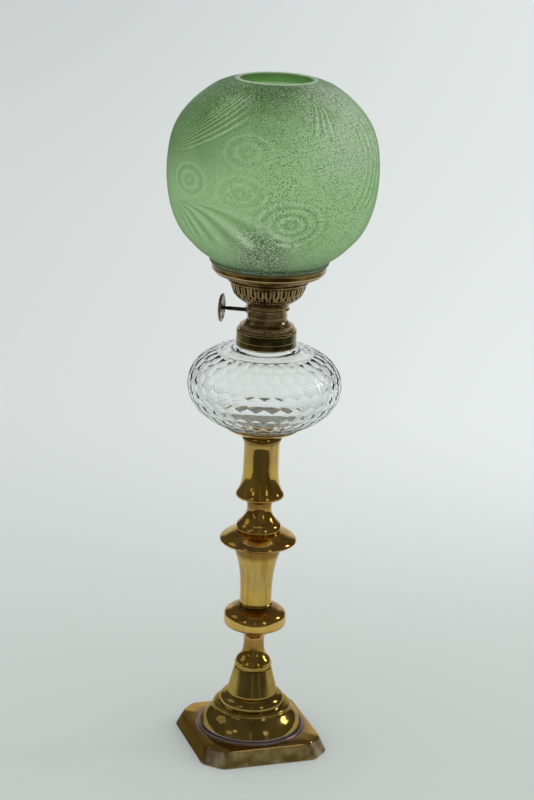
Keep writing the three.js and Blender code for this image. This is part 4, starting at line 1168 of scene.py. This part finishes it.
# %% World
def make_world():
    """The room as each kind of ray meets it: mirrored, through glass, by the camera, or as light."""
    world = bpy.data.worlds.new("studio")
    scene.world = world
    f = Finish("studio", world)
    toward = f.place("Generated")
    behind, across = f.along(toward, -front), f.along(toward, side)
    height = f.axis(toward, 2)
    level = (1 - height * height).maths("SQRT")
    facing = behind / level.maths("MAXIMUM", level, 0.05)
    overhead = f.step(height, 0.34, 0.44) * f.step(across, 0.20, -0.15)
    backdrop = f.step(facing, 0.82, 0.93) * f.step(height, 0.55, 0.35) * (1 - overhead * 0.75)
    turn = across.maths("ARCTAN2", across, 0 - behind)
    gleams = sum(f.near(turn, middle, reach) for middle, reach in ((0.02, 0.07), (0.66, 0.09)))
    gleams = gleams * f.step(height, 0.75, 0.45) * f.step(behind, 0, -0.1)
    mirrored = f.layered(room_dark, (gleams.clamped() * 0.35, (0.5, 0.5, 0.45)), (backdrop, backdrop_pale))
    through = f.mix(backdrop, (0.52, 0.54, 0.53), backdrop_pale)
    colour = f.layered(
        (0.84, 0.86, 0.86),
        (f.step(across, -0.9, 0.9), (1.12, 1.14, 1.14)),
        (f.step(height, 0.6, 0.95) * 0.2, (0.6, 0.6, 0.6)),
        (f.ray("Is Camera Ray"), backdrop_pale),
        (f.ray("Is Transmission Ray"), through),
        (f.ray("Is Glossy Ray"), f.mix(seen_in_glass(f), mirrored, through)))
    light = f.add("ShaderNodeBackground", {"Color": colour, "Strength": 1.0})
    f.surface(light, "ShaderNodeOutputWorld")


make_world()
print("world:", scene.world.name)


# %% Lamps
def softbox(name, place, aim_height, size, watts):
    """An area light aimed at a height on the axis of the peg lamp."""
    data = bpy.data.lights.new(name, "AREA")
    data.shape = "RECTANGLE"
    data.size, data.size_y = size
    data.energy = watts
    lamp = bpy.data.objects.new(name, data)
    scene.collection.objects.link(lamp)
    lamp.location = Matrix.Rotation(foot_turn, 3, "Z") @ Vector(place)
    lamp.rotation_mode = "QUATERNION"
    lamp.rotation_quaternion = (Vector((0, 0, aim_height)) - lamp.location).to_track_quat("-Z", "Y")


softbox("lamp_left", (-1.2, -1.55, 1.1), 0.2, (0.34, 0.45), 0.32)
softbox("lamp_right", (1.2, -1.55, 0.95), 0.2, (0.34, 0.60), 0.5)
softbox("side_right", (1.6, 0.45, 0.95), 0.2, (0.4, 0.5), 2.5)
softbox("side_left", (-1.7, 0.2, 1.4), 0.2, (0.8, 0.8), 0.7)
softbox("low_left", (-1.5, -1.25, 0.62), 0, (0.45, 0.3), 0.18)
